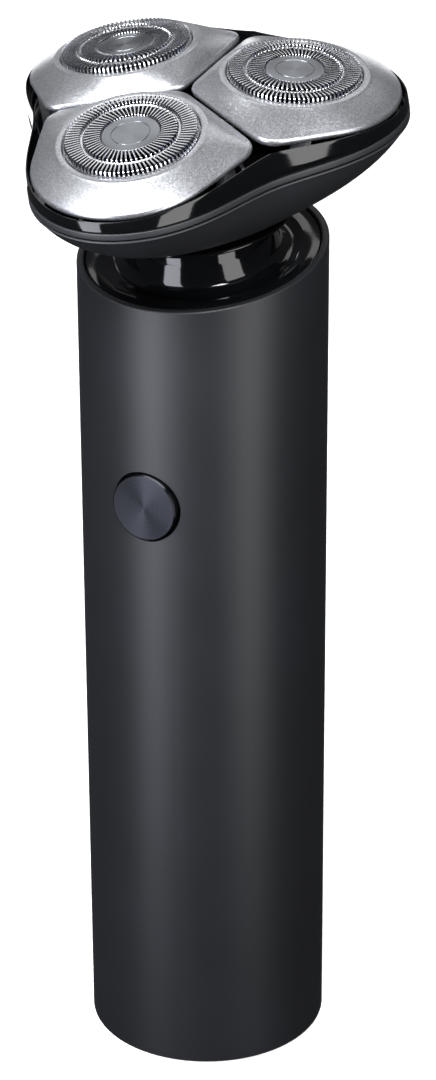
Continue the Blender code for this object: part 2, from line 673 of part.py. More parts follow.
def lower_shell(head):
    """The matte bowl under the head, stepped inside its lip for the deck, with two gimbal bosses."""
    lip_low = SEAM_HEIGHT - LIP_DEPTH
    rises = [0.0, 0.15, 0.4, 0.7, 1.0]
    loops = []
    for rise in rises:
        height = FOOT_HEIGHT + rise * (SEAM_HEIGHT - FOOT_HEIGHT)
        loops.append(outline_loop(lambda a, h=height: bowl_radius(a, h), height))
    loops.append(inset_loop(LIP_WALL, SEAM_HEIGHT))
    loops.append(outline_loop(lambda a: bowl_radius(a, lip_low) - LIP_WALL, lip_low))
    for rise in reversed(rises[:-1]):
        height = FOOT_HEIGHT + rise * (SEAM_HEIGHT - FOOT_HEIGHT)
        if height > lip_low - 0.2:
            continue
        loops.append(outline_loop(lambda a, h=height: bowl_radius(a, h) - SHELL_WALL, height))
    shell = loft("lower_shell", loops, "matte black plastic", head, closed=True)
    bm = bmesh.new()
    inside = GIMBAL_RADIUS + CLEARANCE
    for side in (-1, 1):
        ends = sorted((side * inside, side * (FOOT_RADIUS - SHELL_WALL / 2)))
        add_box(bm, (-BOSS_HALF, ends[0], FOOT_HEIGHT + 0.1), (BOSS_HALF, ends[1], GIMBAL_HEIGHT + 1.3))
    combine(shell, finish_object("shell_bosses", bm, None, head), "UNION")
    reach = GIMBAL_RADIUS + TRUNNION_REACH + CLEARANCE
    hole = TRUNNION_RADIUS + CLEARANCE
    cut_rods(shell, "shell_boss_holes", head, [((0, -reach, GIMBAL_HEIGHT), (0, reach, GIMBAL_HEIGHT), hole)])


def frame_ring(head):
    low = SEAM_HEIGHT + SEAM_GAP
    high = low + FRAME_RING_HEIGHT
    loft("frame_ring", [inset_loop(0.0, low), inset_loop(0.0, high), inset_loop(LIP_WALL, high),
                        inset_loop(LIP_WALL, low)], "matte black plastic", head, closed=True)


def pod_plane(angle, above):
    """Height in the head frame of a plane parallel to the nearest pod, at the deck's outline."""
    radius = seam_radius(angle)
    outward = radius * cos(lobe_angle(angle)) - GEAR_CENTRES
    return BALL_HEIGHT + above / cos(POD_SPLAY) - outward * tan(POD_SPLAY)


def head_deck(head):
    """The glossy tray that the pods sit in: a floor, and a wall whose top follows the pods."""
    shelf = SEAM_HEIGHT + SEAM_GAP + FRAME_RING_HEIGHT + CLEARANCE
    inner = LIP_WALL + CLEARANCE
    deep = inner + DECK_SHOULDER
    floor = DECK_BOTTOM + DECK_THICKNESS

    def top(angle):
        return pod_plane(angle, DECK_RISE)

    foot = outline_loop(lambda a: bowl_radius(a, DECK_BOTTOM) - inner - 0.05, DECK_BOTTOM)
    loops = [foot, inset_loop(inner, SEAM_HEIGHT), inset_loop(inner, shelf), inset_loop(0.0, shelf),
             inset_loop(0.0, top), inset_loop(DECK_WALL, top), inset_loop(DECK_WALL, shelf + 0.6),
             inset_loop(deep, shelf + 0.3), inset_loop(deep, floor)]
    deck = loft("head_deck", loops, "gloss black plastic", head)
    bm = bmesh.new()
    add_rod(bm, (0, 0, DECK_BOTTOM - 1), (0, 0, DECK_BOTTOM + 0.8), STUB_RADIUS + CLEARANCE)
    for angle in POD_ANGLES.values():
        at = (GEAR_CENTRES * cos(angle), GEAR_CENTRES * sin(angle))
        add_rod(bm, (*at, DECK_BOTTOM - 1), (*at, floor + 1), SPINDLE_COLLAR + 0.7)
        add_rod(bm, (*post_place(angle), DECK_BOTTOM - 1), (*post_place(angle), DECK_BOTTOM + 0.8),
                HEAD_SCREW_SHANK + CLEARANCE)
    combine(deck, finish_object("deck_holes", bm, None, head), "DIFFERENCE")
    bm = bmesh.new()
    ear_out = LUG_SIDE - LUG_THICKNESS / 2 - CLEARANCE
    for angle in POD_ANGLES.values():
        turn = Matrix.Rotation(angle, 4, "Z") @ Matrix.Translation((GEAR_CENTRES, 0, 0))
        for side in (-1, 1):
            ends = sorted((side * (ear_out - DECK_EAR), side * ear_out))
            add_box(bm, (-DECK_EAR, ends[0], floor - 0.4), (DECK_EAR, ends[1], BALL_HEIGHT + DECK_EAR), turn)
    combine(deck, finish_object("deck_ears", bm, None, head), "UNION")
    bm = bmesh.new()
    for angle in POD_ANGLES.values():
        turn = Matrix.Rotation(angle, 4, "Z") @ Matrix.Translation((GEAR_CENTRES, 0, 0))
        for side in (-1, 1):
            start = turn @ Vector((0, side * (ear_out - DECK_EAR / 2), BALL_HEIGHT))
            end = turn @ Vector((0, side * (LUG_SIDE + LUG_THICKNESS / 3), BALL_HEIGHT))
            add_rod(bm, start, end, PIN_RADIUS)
    combine(deck, finish_object("deck_pins", bm, None, head), "UNION")


def post_place(angle):
    """The post beyond a pod at this angle: halfway round to the next pod."""
    return POST_CENTRES * cos(angle + pi / 3), POST_CENTRES * sin(angle + pi / 3)


def gear_plate(head):
    """The plate that the gears turn on, with three posts up to the deck and the screws through them."""
    high = PLATE_BOTTOM + PLATE_THICKNESS

    def edge(angle):
        return bowl_radius(angle, PLATE_BOTTOM) - SHELL_WALL - CLEARANCE

    plate = loft("gear_plate", [outline_loop(edge, PLATE_BOTTOM), outline_loop(edge, high)], "grey nylon", head)
    post_top = DECK_BOTTOM - CLEARANCE
    bm = bmesh.new()
    rods = [((0, 0, PLATE_BOTTOM - 1), (0, 0, high + 1), JOURNAL_RADIUS + CLEARANCE)]
    head_high = PLATE_BOTTOM - CLEARANCE
    for number, angle in enumerate(POD_ANGLES.values(), 1):
        at = post_place(angle)
        add_rod(bm, (*at, high - 0.5), (*at, post_top), POST_RADIUS)
        rods.append(((*at, PLATE_BOTTOM - 1), (*at, post_top + 1), HEAD_SCREW_SHANK + CLEARANCE))
        spindle = (GEAR_CENTRES * cos(angle), GEAR_CENTRES * sin(angle))
        rods.append(((*spindle, PLATE_BOTTOM - 1), (*spindle, high + 1), SPINDLE_RADIUS + CLEARANCE))
        screw("head_screw_%d" % number, head, *at, head_high - HEAD_SCREW_SHANK, head_high,
              DECK_BOTTOM + 0.5, HEAD_SCREW_SHANK, HEAD_SCREW_HEAD)
    combine(plate, finish_object("plate_posts", bm, None, head), "UNION")
    cut_rods(plate, "plate_holes", head, rods)


# ---------------------------------------------------------------- gears

def gear_module():
    return 2 * GEAR_CENTRES / (CENTRE_TEETH + CUTTER_TEETH)


def gear_outline(teeth, phase):
    """Straight-flanked teeth, thinned for backlash: four points to a tooth."""
    module = gear_module()
    pitch = module * teeth / 2
    root, tip = pitch - 1.1 * module - 0.1, pitch + 0.8 * module
    step = 2 * pi / teeth
    points = []
    for i in range(teeth):
        middle = i * step + phase
        for radius, share in ((root, -0.30), (tip, -0.10), (tip, 0.10), (root, 0.30)):
            points.append((radius * cos(middle + share * step), radius * sin(middle + share * step)))
    return points


def add_gear(bm, teeth, phase, low, high):
    outline = gear_outline(teeth, phase)
    add_loft(bm, [[(x, y, z) for x, y in outline] for z in (low, high)], False)


def centre_gear(head):
    """The gear that the motor turns through its hexagonal stem."""
    high = GEAR_BOTTOM + GEAR_WIDTH
    bm = bmesh.new()
    add_gear(bm, CENTRE_TEETH, POD_ANGLES["front"], GEAR_BOTTOM, high)
    gear = finish_object("centre_gear", bm, "white acetal", head)
    bm = bmesh.new()
    add_rod(bm, (0, 0, high - 0.5), (0, 0, DECK_BOTTOM + 0.5), STUB_RADIUS)
    combine(gear, finish_object("centre_stub", bm, None, head), "UNION")
    bm = bmesh.new()
    add_rod(bm, (0, 0, PLATE_BOTTOM - 0.6), (0, 0, GEAR_BOTTOM + 0.5), JOURNAL_RADIUS)
    combine(gear, finish_object("centre_journal", bm, None, head), "UNION")
    bm = bmesh.new()
    add_loft(bm, [circle(HEX_STEM * scale, z, 6) for scale, z in
                  ((0.7, STEM_BOTTOM), (1.0, STEM_BOTTOM + 0.5), (1.0, PLATE_BOTTOM))], False)
    combine(gear, finish_object("centre_stem", bm, None, head), "UNION")


def cutter_drive(head, name, angle):
    """One cutter's gear, the spindle that rises from it and the spring that lifts the spindle."""
    at = (GEAR_CENTRES * cos(angle), GEAR_CENTRES * sin(angle), 0)
    hub = empty("gear_axis_" + name, head, at, (0, 0, angle))
    high = GEAR_BOTTOM + GEAR_WIDTH
    bm = bmesh.new()
    lead = (angle - POD_ANGLES["front"]) % (2 * pi / CENTRE_TEETH)
    gap = pi + lead * CENTRE_TEETH / CUTTER_TEETH
    add_gear(bm, CUTTER_TEETH, gap + pi / CUTTER_TEETH, GEAR_BOTTOM, high)
    gear = finish_object("drive_gear_" + name, bm, "white acetal", hub)
    bm = bmesh.new()
    add_rod(bm, (0, 0, high - 0.5), (0, 0, high + HUB_HEIGHT), JOURNAL_RADIUS)
    combine(gear, finish_object("gear_hub_" + name, bm, None, hub), "UNION")
    cut_rods(gear, "gear_bore_" + name, hub,
             [((0, 0, GEAR_BOTTOM - 1), (0, 0, high + 3), SPINDLE_RADIUS + CLEARANCE)])
    collar = DECK_BOTTOM + CLEARANCE
    over = collar + 0.6
    profile = [(SPINDLE_RADIUS, PLATE_BOTTOM + CLEARANCE), (SPINDLE_RADIUS, collar), (SPINDLE_COLLAR, collar),
               (SPINDLE_COLLAR, over), (SPINDLE_RADIUS - 0.1, over), (SPINDLE_RADIUS - 0.1, BALL_HEIGHT - 1.0)]
    spindle = turned("spindle_" + name, profile, "brushed steel", hub, steps=SMALL_STEPS)
    bm = bmesh.new()
    levels = [(-1.35, 0.55), (-0.8, 1.0), (0.8, 1.0), (1.35, 0.55)]
    add_loft(bm, [circle(BALL_RADIUS * scale, BALL_HEIGHT + z, 6) for z, scale in levels], False)
    combine(spindle, finish_object("spindle_ball_" + name, bm, None, hub), "UNION")
    coil("spindle_spring_" + name, hub, high + HUB_HEIGHT + CLEARANCE, collar - CLEARANCE)


def coil(name, parent, low, high):
    """A round-wire compression spring that stands between two heights."""
    steps = int(SPRING_TURNS * 8)
    sides = 4
    loops = []
    for i in range(steps + 1):
        share = i / steps
        angle = 2 * pi * SPRING_TURNS * share
        middle = low + SPRING_WIRE + (high - low - 2 * SPRING_WIRE) * share
        loop = []
        for k in range(sides):
            around = 2 * pi * k / sides
            reach = SPRING_RADIUS + SPRING_WIRE * cos(around)
            loop.append((reach * cos(angle), reach * sin(angle), middle + SPRING_WIRE * sin(around)))
        loops.append(loop)
    return loft(name, loops, "polished steel", parent)


# ---------------------------------------------------------------- pods

def pod_discs():
    """The discs whose common hull is a pod's outline: (x, y, radius) around the cap's centre."""
    side = sin(radians(30))
    out = cos(radians(30))
    corner = (POD_CORNER_SIDE * side + POD_CORNER - POD_EDGE) / out
    tip = (POD_EDGE - POD_TIP) / out
    return ((POD_ARC_OUT, 0.0, POD_ARC), (corner, POD_CORNER_SIDE, POD_CORNER),
            (corner, -POD_CORNER_SIDE, POD_CORNER), (-tip, 0.0, POD_TIP))


def pod_radius(angle, inset=0.0):
    """Distance from the cap's centre to the outline: the nearest of the hull's tangent lines."""
    best = None
    for i in range(240):
        normal = 2 * pi * i / 240
        facing = cos(angle - normal)
        if facing < 0.05:
            continue
        reach = max(x * cos(normal) + y * sin(normal) + r for x, y, r in pod_discs()) - inset
        best = reach / facing if best is None else min(best, reach / facing)
    return best


def pod_loop(inset, height):
    loop = []
    for i in range(POD_STEPS):
        angle = 2 * pi * i / POD_STEPS
        radius = pod_radius(angle, inset)
        loop.append((radius * cos(angle), radius * sin(angle), height))
    return loop


def pod(hub, name):
    """The silver carrier: a flat ring round the cap, a slope, an upright edge, and two pivot lugs."""
    under = POD_TOP - POD_SHEET
    loops = [
        circle(POD_BORE, POD_TOP, POD_STEPS), circle(POD_RING, POD_TOP, POD_STEPS),
        pod_loop(0.35, POD_SHOULDER + 0.25), pod_loop(0.0, POD_SHOULDER - 0.2), pod_loop(0.15, POD_BOTTOM),
        pod_loop(POD_WALL, POD_BOTTOM), pod_loop(POD_WALL + 0.2, POD_SHOULDER - 0.6),
        circle(CAP_FLANGE + 0.5, under, POD_STEPS), circle(POD_BORE, under, POD_STEPS)]
    piece = loft("pod_" + name, loops, "satin silver paint", hub, closed=True)
    bm = bmesh.new()
    for side in (-1, 1):
        ends = sorted((side * (LUG_SIDE - LUG_THICKNESS / 2), side * (LUG_SIDE + LUG_THICKNESS / 2)))
        add_box(bm, (-LUG_HALF, ends[0], -1.3), (LUG_HALF, ends[1], POD_SHOULDER - 0.7))
    combine(piece, finish_object("pod_lugs_" + name, bm, None, hub), "UNION")
    reach = LUG_THICKNESS / 2 + 0.6
    rods = [((0, side * LUG_SIDE - reach, 0), (0, side * LUG_SIDE + reach, 0), PIN_RADIUS + CLEARANCE)
            for side in (-1, 1)]
    cut_rods(piece, "pod_lug_holes_" + name, hub, rods)


def cap(hub, name):
    """The slotted steel cap: two raised tracks with a groove between, over a low side wall."""
    sheet = CAP_TOP - CAP_SHEET
    groove = CAP_TOP - GROOVE_DEPTH
    inside = CAP_RADIUS - CAP_WALL
    profile = [
        (CAP_FLANGE, FLANGE_HIGH), (CAP_RADIUS, FLANGE_HIGH), (CAP_RADIUS, CAP_TOP - 0.5),
        (CAP_RADIUS - 0.45, CAP_TOP), (GROOVE_OUT, CAP_TOP), (GROOVE_OUT, groove), (GROOVE_IN, groove),
        (GROOVE_IN, CAP_TOP), (HUB_RADIUS + CLEARANCE, CAP_TOP), (HUB_RADIUS + CLEARANCE, sheet),
        (inside, sheet), (inside, FLANGE_LOW), (CAP_FLANGE, FLANGE_LOW)]
    steel = turned("cap_" + name, profile, "polished steel", hub, steps=OUTER_SLOTS, ring=True)
    bm = bmesh.new()
    rows = ((OUTER_SLOTS, GROOVE_OUT + 0.4, CAP_RADIUS + 0.4, OUTER_SLOT_WIDTH, sheet - 0.3),
            (INNER_SLOTS, HUB_RADIUS + 0.6, GROOVE_IN - 0.3, INNER_SLOT_WIDTH, sheet - 0.3))
    for count, start, end, width, low in rows:
        for i in range(count):
            turn = Matrix.Rotation(2 * pi * i / count + pi / OUTER_SLOTS, 4, "Z")
            add_box(bm, (start, -width / 2, low), (end, width / 2, CAP_TOP + 0.3), turn)
    combine(steel, finish_object("cap_slots_" + name, bm, None, hub), "DIFFERENCE")
    turned("cap_hub_" + name, [(HUB_PIN, CUTTER_HIGH - 0.1), (HUB_PIN, sheet), (HUB_RADIUS, sheet),
                               (HUB_RADIUS, CAP_TOP)], "brushed steel", hub, steps=MEDIUM_STEPS)
    turned("retainer_" + name, [(RETAINER_IN, RETAINER_LOW), (RETAINER_OUT, RETAINER_LOW),
                                (RETAINER_OUT, RETAINER_HIGH), (RETAINER_IN, RETAINER_HIGH)],
           "matte black plastic", hub, steps=MEDIUM_STEPS, ring=True)


def cutter(hub, name):
    """The steel cutter: a disc on a driven hub, with a ring of upright blades under each track."""
    well = HUB_PIN + CLEARANCE
    profile = [(CUTTER_HUB, -0.9), (CUTTER_HUB, CUTTER_LOW), (CUTTER_RADIUS, CUTTER_LOW),
               (CUTTER_RADIUS, CUTTER_HIGH), (well, CUTTER_HIGH), (well, CUTTER_LOW - 0.4)]
    disc = turned("cutter_" + name, profile, "brushed steel", hub, steps=MEDIUM_STEPS)
    bm = bmesh.new()
    half = BLADE_THICKNESS / 2
    blade_top = CAP_TOP - CAP_SHEET - CLEARANCE
    for start, end in ((HUB_RADIUS + 0.6, GROOVE_IN - 0.2), (GROOVE_OUT + 0.2, CUTTER_RADIUS - 0.3)):
        for i in range(BLADES):
            turn = Matrix.Rotation(2 * pi * i / BLADES, 4, "Z")
            add_box(bm, (start, -half, CUTTER_HIGH - 0.2), (end, half, blade_top), turn)
    combine(disc, finish_object("cutter_blades_" + name, bm, None, hub), "UNION")
    bm = bmesh.new()
    corner = 2.1 / cos(pi / 6)
    add_loft(bm, [circle(corner, z, 6) for z in (-2.0, 2.0)], False)
    combine(disc, finish_object("cutter_socket_" + name, bm, None, hub), "DIFFERENCE")


def build():
    clear_scene()
    head = empty("head_axis", location=(0, 0, RIM_HEIGHT), rotation=(RIM_TILT, 0, 0))
    body_tube()
    bottom_cap()
    bottom_seal()
    bottom_screws()
    chassis()
    battery()
    circuit_board()
    usb_socket()
    button()
    motor(head)
    top_collar(head)
    neck_ring(head)
    gimbal_ring(head)
    lower_shell(head)
    frame_ring(head)
    head_deck(head)
    gear_plate(head)
    centre_gear(head)
    for name, angle in POD_ANGLES.items():
        cutter_drive(head, name, angle)
        at = (GEAR_CENTRES * cos(angle), GEAR_CENTRES * sin(angle), BALL_HEIGHT)
        hub = empty("pod_axis_" + name, head, at, (0, POD_SPLAY, angle))
        pod(hub, name)
        cap(hub, name)
        cutter(hub, name)


build()
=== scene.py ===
"""Looks for the rotary electric shaver: finished shells, pods, slotted caps, cutters and materials.

Sizes are in millimetres in each piece's own frame. The head's frame and each pod's frame come from the
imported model's joints, so a piece lies where the model's axes say.
"""
import json
from math import atan2, cos, hypot, pi, radians, sin, sqrt, tan

import bmesh
import bpy
from mathutils import Matrix, Vector


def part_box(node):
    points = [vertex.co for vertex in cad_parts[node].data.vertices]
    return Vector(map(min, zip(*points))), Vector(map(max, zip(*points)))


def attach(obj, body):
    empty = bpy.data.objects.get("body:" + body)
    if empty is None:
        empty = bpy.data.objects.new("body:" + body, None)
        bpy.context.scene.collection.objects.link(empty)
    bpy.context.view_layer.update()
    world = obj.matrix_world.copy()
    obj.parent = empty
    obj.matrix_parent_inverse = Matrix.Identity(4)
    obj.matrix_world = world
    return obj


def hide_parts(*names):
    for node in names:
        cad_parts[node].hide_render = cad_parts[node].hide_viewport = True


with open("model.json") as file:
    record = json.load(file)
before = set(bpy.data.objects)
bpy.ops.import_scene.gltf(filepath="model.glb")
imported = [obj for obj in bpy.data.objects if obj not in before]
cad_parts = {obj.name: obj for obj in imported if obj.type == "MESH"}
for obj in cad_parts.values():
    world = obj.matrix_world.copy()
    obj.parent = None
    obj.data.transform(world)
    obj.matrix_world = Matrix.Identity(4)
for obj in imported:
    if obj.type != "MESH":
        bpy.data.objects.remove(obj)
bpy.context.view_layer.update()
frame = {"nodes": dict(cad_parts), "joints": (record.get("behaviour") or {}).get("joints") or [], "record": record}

MM = 0.001
JOINTS = {joint["name"]: joint for joint in frame["joints"]}
SIDES = ("front", "right", "left")


def axis_frame(place, up, out):
    """A frame at a place in metres: +Z along up, +X as near as can be to out."""
    up = Vector(up).normalized()
    side = up.cross(Vector(out)).normalized()
    turn = Matrix((side.cross(up), side, up)).transposed().to_4x4()
    return Matrix.Translation(Vector(place)) @ turn


def pod_frame(name):
    """A pod's frame: at its pivot, with +Z along its cutter's axis and +X away from the head's middle."""
    tilt = JOINTS["pod_%s_tilt" % name]
    up = Vector(JOINTS["cutter_%s_spin" % name]["axis"])
    return axis_frame(tilt["pos_m"], up, Vector(tilt["axis"]).cross(up))


UPRIGHT = Matrix.Identity(4)
HEAD = axis_frame(JOINTS["rotor_spin"]["pos_m"], JOINTS["rotor_spin"]["axis"], (1, 0, 0))
PODS = {name: pod_frame(name) for name in SIDES}
TILT = atan2(-HEAD[1][2], HEAD[2][2])                # the head's axis leans to the front by this
RIM = HEAD.translation.z / MM                        # rim height on the handle's axis
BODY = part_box("body_tube")[1].x / MM
BUTTON_FACE = -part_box("button_cap")[0].y / MM
BUTTON_HEIGHT = sum(corner.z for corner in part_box("button_cap")) / 2 / MM

ROUND = 144          # sides of a large turned piece
FINE = 72            # sides of a small one
TIP = 0.001          # radius that stands for 0, so that a turned piece's end loop has an area
CREASE = 38          # an edge whose faces meet at more degrees than this is shaded sharp


# ---------------------------------------------------------------- mesh tools

def fillet(points, closed=False, steps=4):
    """(x, y, radius) corners as an outline, where a corner with a radius becomes a smooth bend."""
    outline = []
    count = len(points)
    for i, (x, y, radius) in enumerate(points):
        ends = not closed and i in (0, count - 1)
        if not radius or ends:
            outline.append((x, y))
            continue
        before = Vector(points[i - 1][:2]) - Vector((x, y))
        after = Vector(points[(i + 1) % count][:2]) - Vector((x, y))
        half = before.angle(after) / 2
        reach = min(radius / tan(half), before.length * 0.49, after.length * 0.49)
        start = Vector((x, y)) + before.normalized() * reach
        end = Vector((x, y)) + after.normalized() * reach
        for k in range(steps + 1):
            share = k / steps
            near = start.lerp(Vector((x, y)), share)
            far = Vector((x, y)).lerp(end, share)
            outline.append(tuple(near.lerp(far, share)))
    return outline


def bridge(bm, first, second):
    """A band of quads between two loops with as many corners each."""
    count = len(first)
    for i in range(count):
        j = (i + 1) % count
        bm.faces.new((first[i], first[j], second[j], second[i]))


def bridge_all(bm, rows):
    """Bands between each loop and the next."""
    for first, second in zip(rows, rows[1:]):
        bridge(bm, first, second)


def skin(bm, loops, closed=False):
    """Bands of quads between loops of points, with end faces or joined round."""
    rows = [[bm.verts.new(point) for point in loop] for loop in loops]
    bridge_all(bm, rows)
    if closed:
        bridge(bm, rows[-1], rows[0])
    else:
        bm.faces.new(rows[0])
        bm.faces.new(rows[-1])


def circle(radius, height, steps=ROUND, centre=(0.0, 0.0)):
    """A level loop of points."""
    angles = [2 * pi * i / steps for i in range(steps)]
    return [(centre[0] + radius * cos(a), centre[1] + radius * sin(a), height) for a in angles]


def revolve(bm, profile, steps=ROUND, closed=False, centre=(0.0, 0.0)):
    """A solid turned from (radius, height) points about an upright axis."""
    skin(bm, [circle(max(r, TIP), z, steps, centre) for r, z in profile], closed)


def rectangle(left, right, near, far):
    """The (x, y) corners of a rectangle, in order round it."""
    return [(left, near), (right, near), (right, far), (left, far)]


def block(bm, plan, heights):
    """An upright block between two heights, from (x, y) points."""
    skin(bm, [[(x, y, z) for x, y in plan] for z in heights])


def stadium(bm, low, high, grow, heights):
    """A block with round ends: a box's plan, grown all round by some millimetres."""
    half = (high.y - low.y) / 2 / MM + grow
    reach = (high.x - low.x) / 2 / MM + grow - half
    middle = (high.y + low.y) / 2 / MM
    angles = [-pi / 2 + pi * i / 12 for i in range(13)]
    plan = [(reach + half * cos(a), middle + half * sin(a)) for a in angles]
    plan += [(-reach - half * cos(a), middle - half * sin(a)) for a in angles]
    block(bm, plan, heights)


def mesh_in_metres(name, bm):
    """A bmesh drawn in millimetres as a mesh in metres, with its faces turned outwards."""
    bmesh.ops.scale(bm, vec=(MM, MM, MM), verts=bm.verts)
    bmesh.ops.recalc_face_normals(bm, faces=bm.faces)
    mesh = bpy.data.meshes.new(name)
    bm.to_mesh(mesh)
    bm.free()
    return mesh


def add_object(name, data):
    """A new object in the scene."""
    made = bpy.data.objects.new(name, data)
    bpy.context.scene.collection.objects.link(made)
    return made


def piece(name, bm, place, finish, body, stands_for=(), sharp=CREASE):
    """Makes a bmesh in millimetres a finished piece that rides on a body."""
    mesh = mesh_in_metres(name, bm)
    mesh.shade_smooth()
    mesh.set_sharp_from_angle(angle=radians(sharp))
    mesh.materials.append(finish)
    made = add_object(name, mesh)
    made.matrix_world = place
    bpy.context.view_layer.update()
    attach(made, body)
    if stands_for:
        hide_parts(*stands_for)
    return made


def turned(name, profile, place, finish, body, stands_for, steps=ROUND, centre=(0.0, 0.0),
           sharp=CREASE):
    """A finished piece turned from a profile of (radius, height) points."""
    bm = bmesh.new()
    revolve(bm, profile, steps, centre=centre)
    return piece(name, bm, place, finish, body, stands_for, sharp)


def carve(target, bm):
    """Cuts a bmesh in millimetres out of a finished piece and applies the cut."""
    tool = add_object("tool", mesh_in_metres("tool", bm))
    tool.matrix_world = target.matrix_world
    step = target.modifiers.new("cut", "BOOLEAN")
    step.operation = "DIFFERENCE"
    step.object = tool
    step.use_self = True
    bpy.context.view_layer.update()
    evaluated = target.evaluated_get(bpy.context.evaluated_depsgraph_get())
    cut = bpy.data.meshes.new_from_object(evaluated)
    target.modifiers.remove(step)
    target.data = cut
    cut.set_sharp_from_angle(angle=radians(CREASE))
    bpy.data.objects.remove(tool)


# ---------------------------------------------------------------- materials

def linear(colour):
    """A six-figure sRGB hex colour as linear RGBA."""
    parts = [int(colour[i:i + 2], 16) / 255 for i in (0, 2, 4)]
    return (*[p / 12.92 if p <= 0.04045 else ((p + 0.055) / 1.055) ** 2.4 for p in parts], 1.0)


def add(tree, kind, inputs=None, **settings):
    """Adds a node: settings are its properties, and inputs are values or (node, output) links."""
    made = tree.nodes.new(kind)
    for key, value in settings.items():
        setattr(made, key, value)
    for key, value in (inputs or {}).items():
        if isinstance(value, tuple) and isinstance(value[0], bpy.types.Node):
            tree.links.new(value[0].outputs[value[1]], made.inputs[key])
        else:
            made.inputs[key].default_value = value
    return made


def blank(name, values):
    """A material with its shader's fixed values set, and its object coordinates."""
    made = bpy.data.materials.new(name)
    made.use_nodes = True
    tree = made.node_tree
    shader = tree.nodes["Principled BSDF"]
    for key, value in values.items():
        shader.inputs[key].default_value = value
    return made, tree, shader, add(tree, "ShaderNodeTexCoord")


def vary(tree, shader, socket, factor, low, high):
    """A number on the shader that runs from low to high with a 0 to 1 factor."""
    spread = add(tree, "ShaderNodeMapRange", {"Value": factor, "To Min": low, "To Max": high})
    tree.links.new(spread.outputs[0], shader.inputs[socket])


def blend_colour(tree, shader, factor, dark, light):
    """A base colour that runs from dark to light with a 0 to 1 factor."""
    ramp = add(tree, "ShaderNodeValToRGB", {"Fac": factor})
    ramp.color_ramp.elements[0].position = 0.3
    ramp.color_ramp.elements[0].color = linear(dark)
    ramp.color_ramp.elements[1].position = 0.7
    ramp.color_ramp.elements[1].color = linear(light)
    tree.links.new(ramp.outputs[0], shader.inputs["Base Color"])


def raise_bump(tree, shader, height, depth):
    """Bump from a 0 to 1 height, with its depth in millimetres."""
    bump = add(tree, "ShaderNodeBump", {"Height": height, "Distance": depth * MM, "Strength": 1.0})
    tree.links.new(bump.outputs[0], shader.inputs["Normal"])


def per_metre(size):
    """A texture's scale for a feature of this size in millimetres."""
    return 1 / (size * MM)


def moulded(name, dark, light, roughness, grain, depth, **values):
    """A spark-eroded moulded surface: fine grain in its gloss and height, and wide faint colour patches."""
    patches = 14.0
    unevenness = 0.04
    made, tree, shader, place = blank(name, values)
    spark = add(tree, "ShaderNodeTexNoise",
                {"Vector": (place, "Object"), "Scale": per_metre(grain), "Detail": 3.0, "Roughness": 0.6})
    cloud = add(tree, "ShaderNodeTexNoise",
                {"Vector": (place, "Object"), "Scale": per_metre(patches), "Detail": 2.0})
    blend_colour(tree, shader, (cloud, 0), dark, light)
    vary(tree, shader, "Roughness", (spark, 0), roughness - unevenness, roughness + unevenness)
    raise_bump(tree, shader, (spark, 0), depth)
    return made


def anodised_black():
    """Bead-blasted, black-anodised aluminium: a soft satin sheen with the finest grain."""
    return moulded("anodised_aluminium_bead_blasted", "18191C", "1B1C20", 0.47, 0.35, 0.004, IOR=1.5)


def matte_abs():
    """Moulded ABS with a matte spark-eroded texture: dark grey, with wide weak highlights."""
    return moulded("abs_matte_moulded", "2A2B2E", "303135", 0.5, 0.3, 0.006, IOR=1.53)


def piano_abs():
    """Polished ABS: near black and mirror-like, with faint swirl marks in its gloss."""
    made, tree, shader, place = blank("abs_piano_polished", {"IOR": 1.5})
    swirl = add(tree, "ShaderNodeTexNoise",
                {"Vector": (place, "Object"), "Scale": per_metre(3.0), "Detail": 4.0, "Distortion": 2.0})
    blend_colour(tree, shader, (swirl, 0), "08090A", "0B0C0E")
    vary(tree, shader, "Roughness", (swirl, 0), 0.05, 0.1)
    return made


def silver_lacquer():
    """Metallic silver lacquer over ABS: aluminium flakes of about 0.1 mm, drawn at 0.16 mm so they show."""
    made, tree, shader, place = blank("lacquer_silver_metallic", {
        "Metallic": 0.88, "Coat Weight": 0.25, "Coat Roughness": 0.22})
    flake = add(tree, "ShaderNodeTexVoronoi",
                {"Vector": (place, "Object"), "Scale": per_metre(0.16)}, feature="F1")
    grey = add(tree, "ShaderNodeSeparateColor", {"Color": (flake, "Color")})
    blend_colour(tree, shader, (grey, 0), "ABADB2", "C7C9CE")
    vary(tree, shader, "Roughness", (grey, 1), 0.30, 0.42)
    raise_bump(tree, shader, (grey, 2), 0.004)
    return made


def ringed(tree, place, pitch):
    """Noise that only changes with the distance from the piece's own axis, as lathe marks do."""
    parts = add(tree, "ShaderNodeSeparateXYZ", {"Vector": (place, "Object")})
    flat = add(tree, "ShaderNodeCombineXYZ", {"X": (parts, 0), "Y": (parts, 1)})
    reach = add(tree, "ShaderNodeVectorMath", {"Vector": (flat, 0)}, operation="LENGTH")
    line = add(tree, "ShaderNodeCombineXYZ", {"X": (reach, 1)})
    return add(tree, "ShaderNodeTexNoise",
               {"Vector": (line, 0), "Scale": per_metre(pitch), "Detail": 2.0, "Roughness": 0.7})


def lathed(name, dark, light, roughness, pitch, depth, **values):
    """Metal turned on a lathe: rings of this pitch, and highlights drawn out across them."""
    made, tree, shader, place = blank(name, {"Metallic": 1.0, "Anisotropic Rotation": 0.25, **values})
    marks = ringed(tree, place, pitch)
    blend_colour(tree, shader, (marks, 0), dark, light)
    vary(tree, shader, "Roughness", (marks, 0), roughness - 0.04, roughness + 0.06)
    raise_bump(tree, shader, (marks, 0), depth)
    around = add(tree, "ShaderNodeTangent", direction_type="RADIAL", axis="Z")
    tree.links.new(around.outputs[0], shader.inputs["Tangent"])
    return made


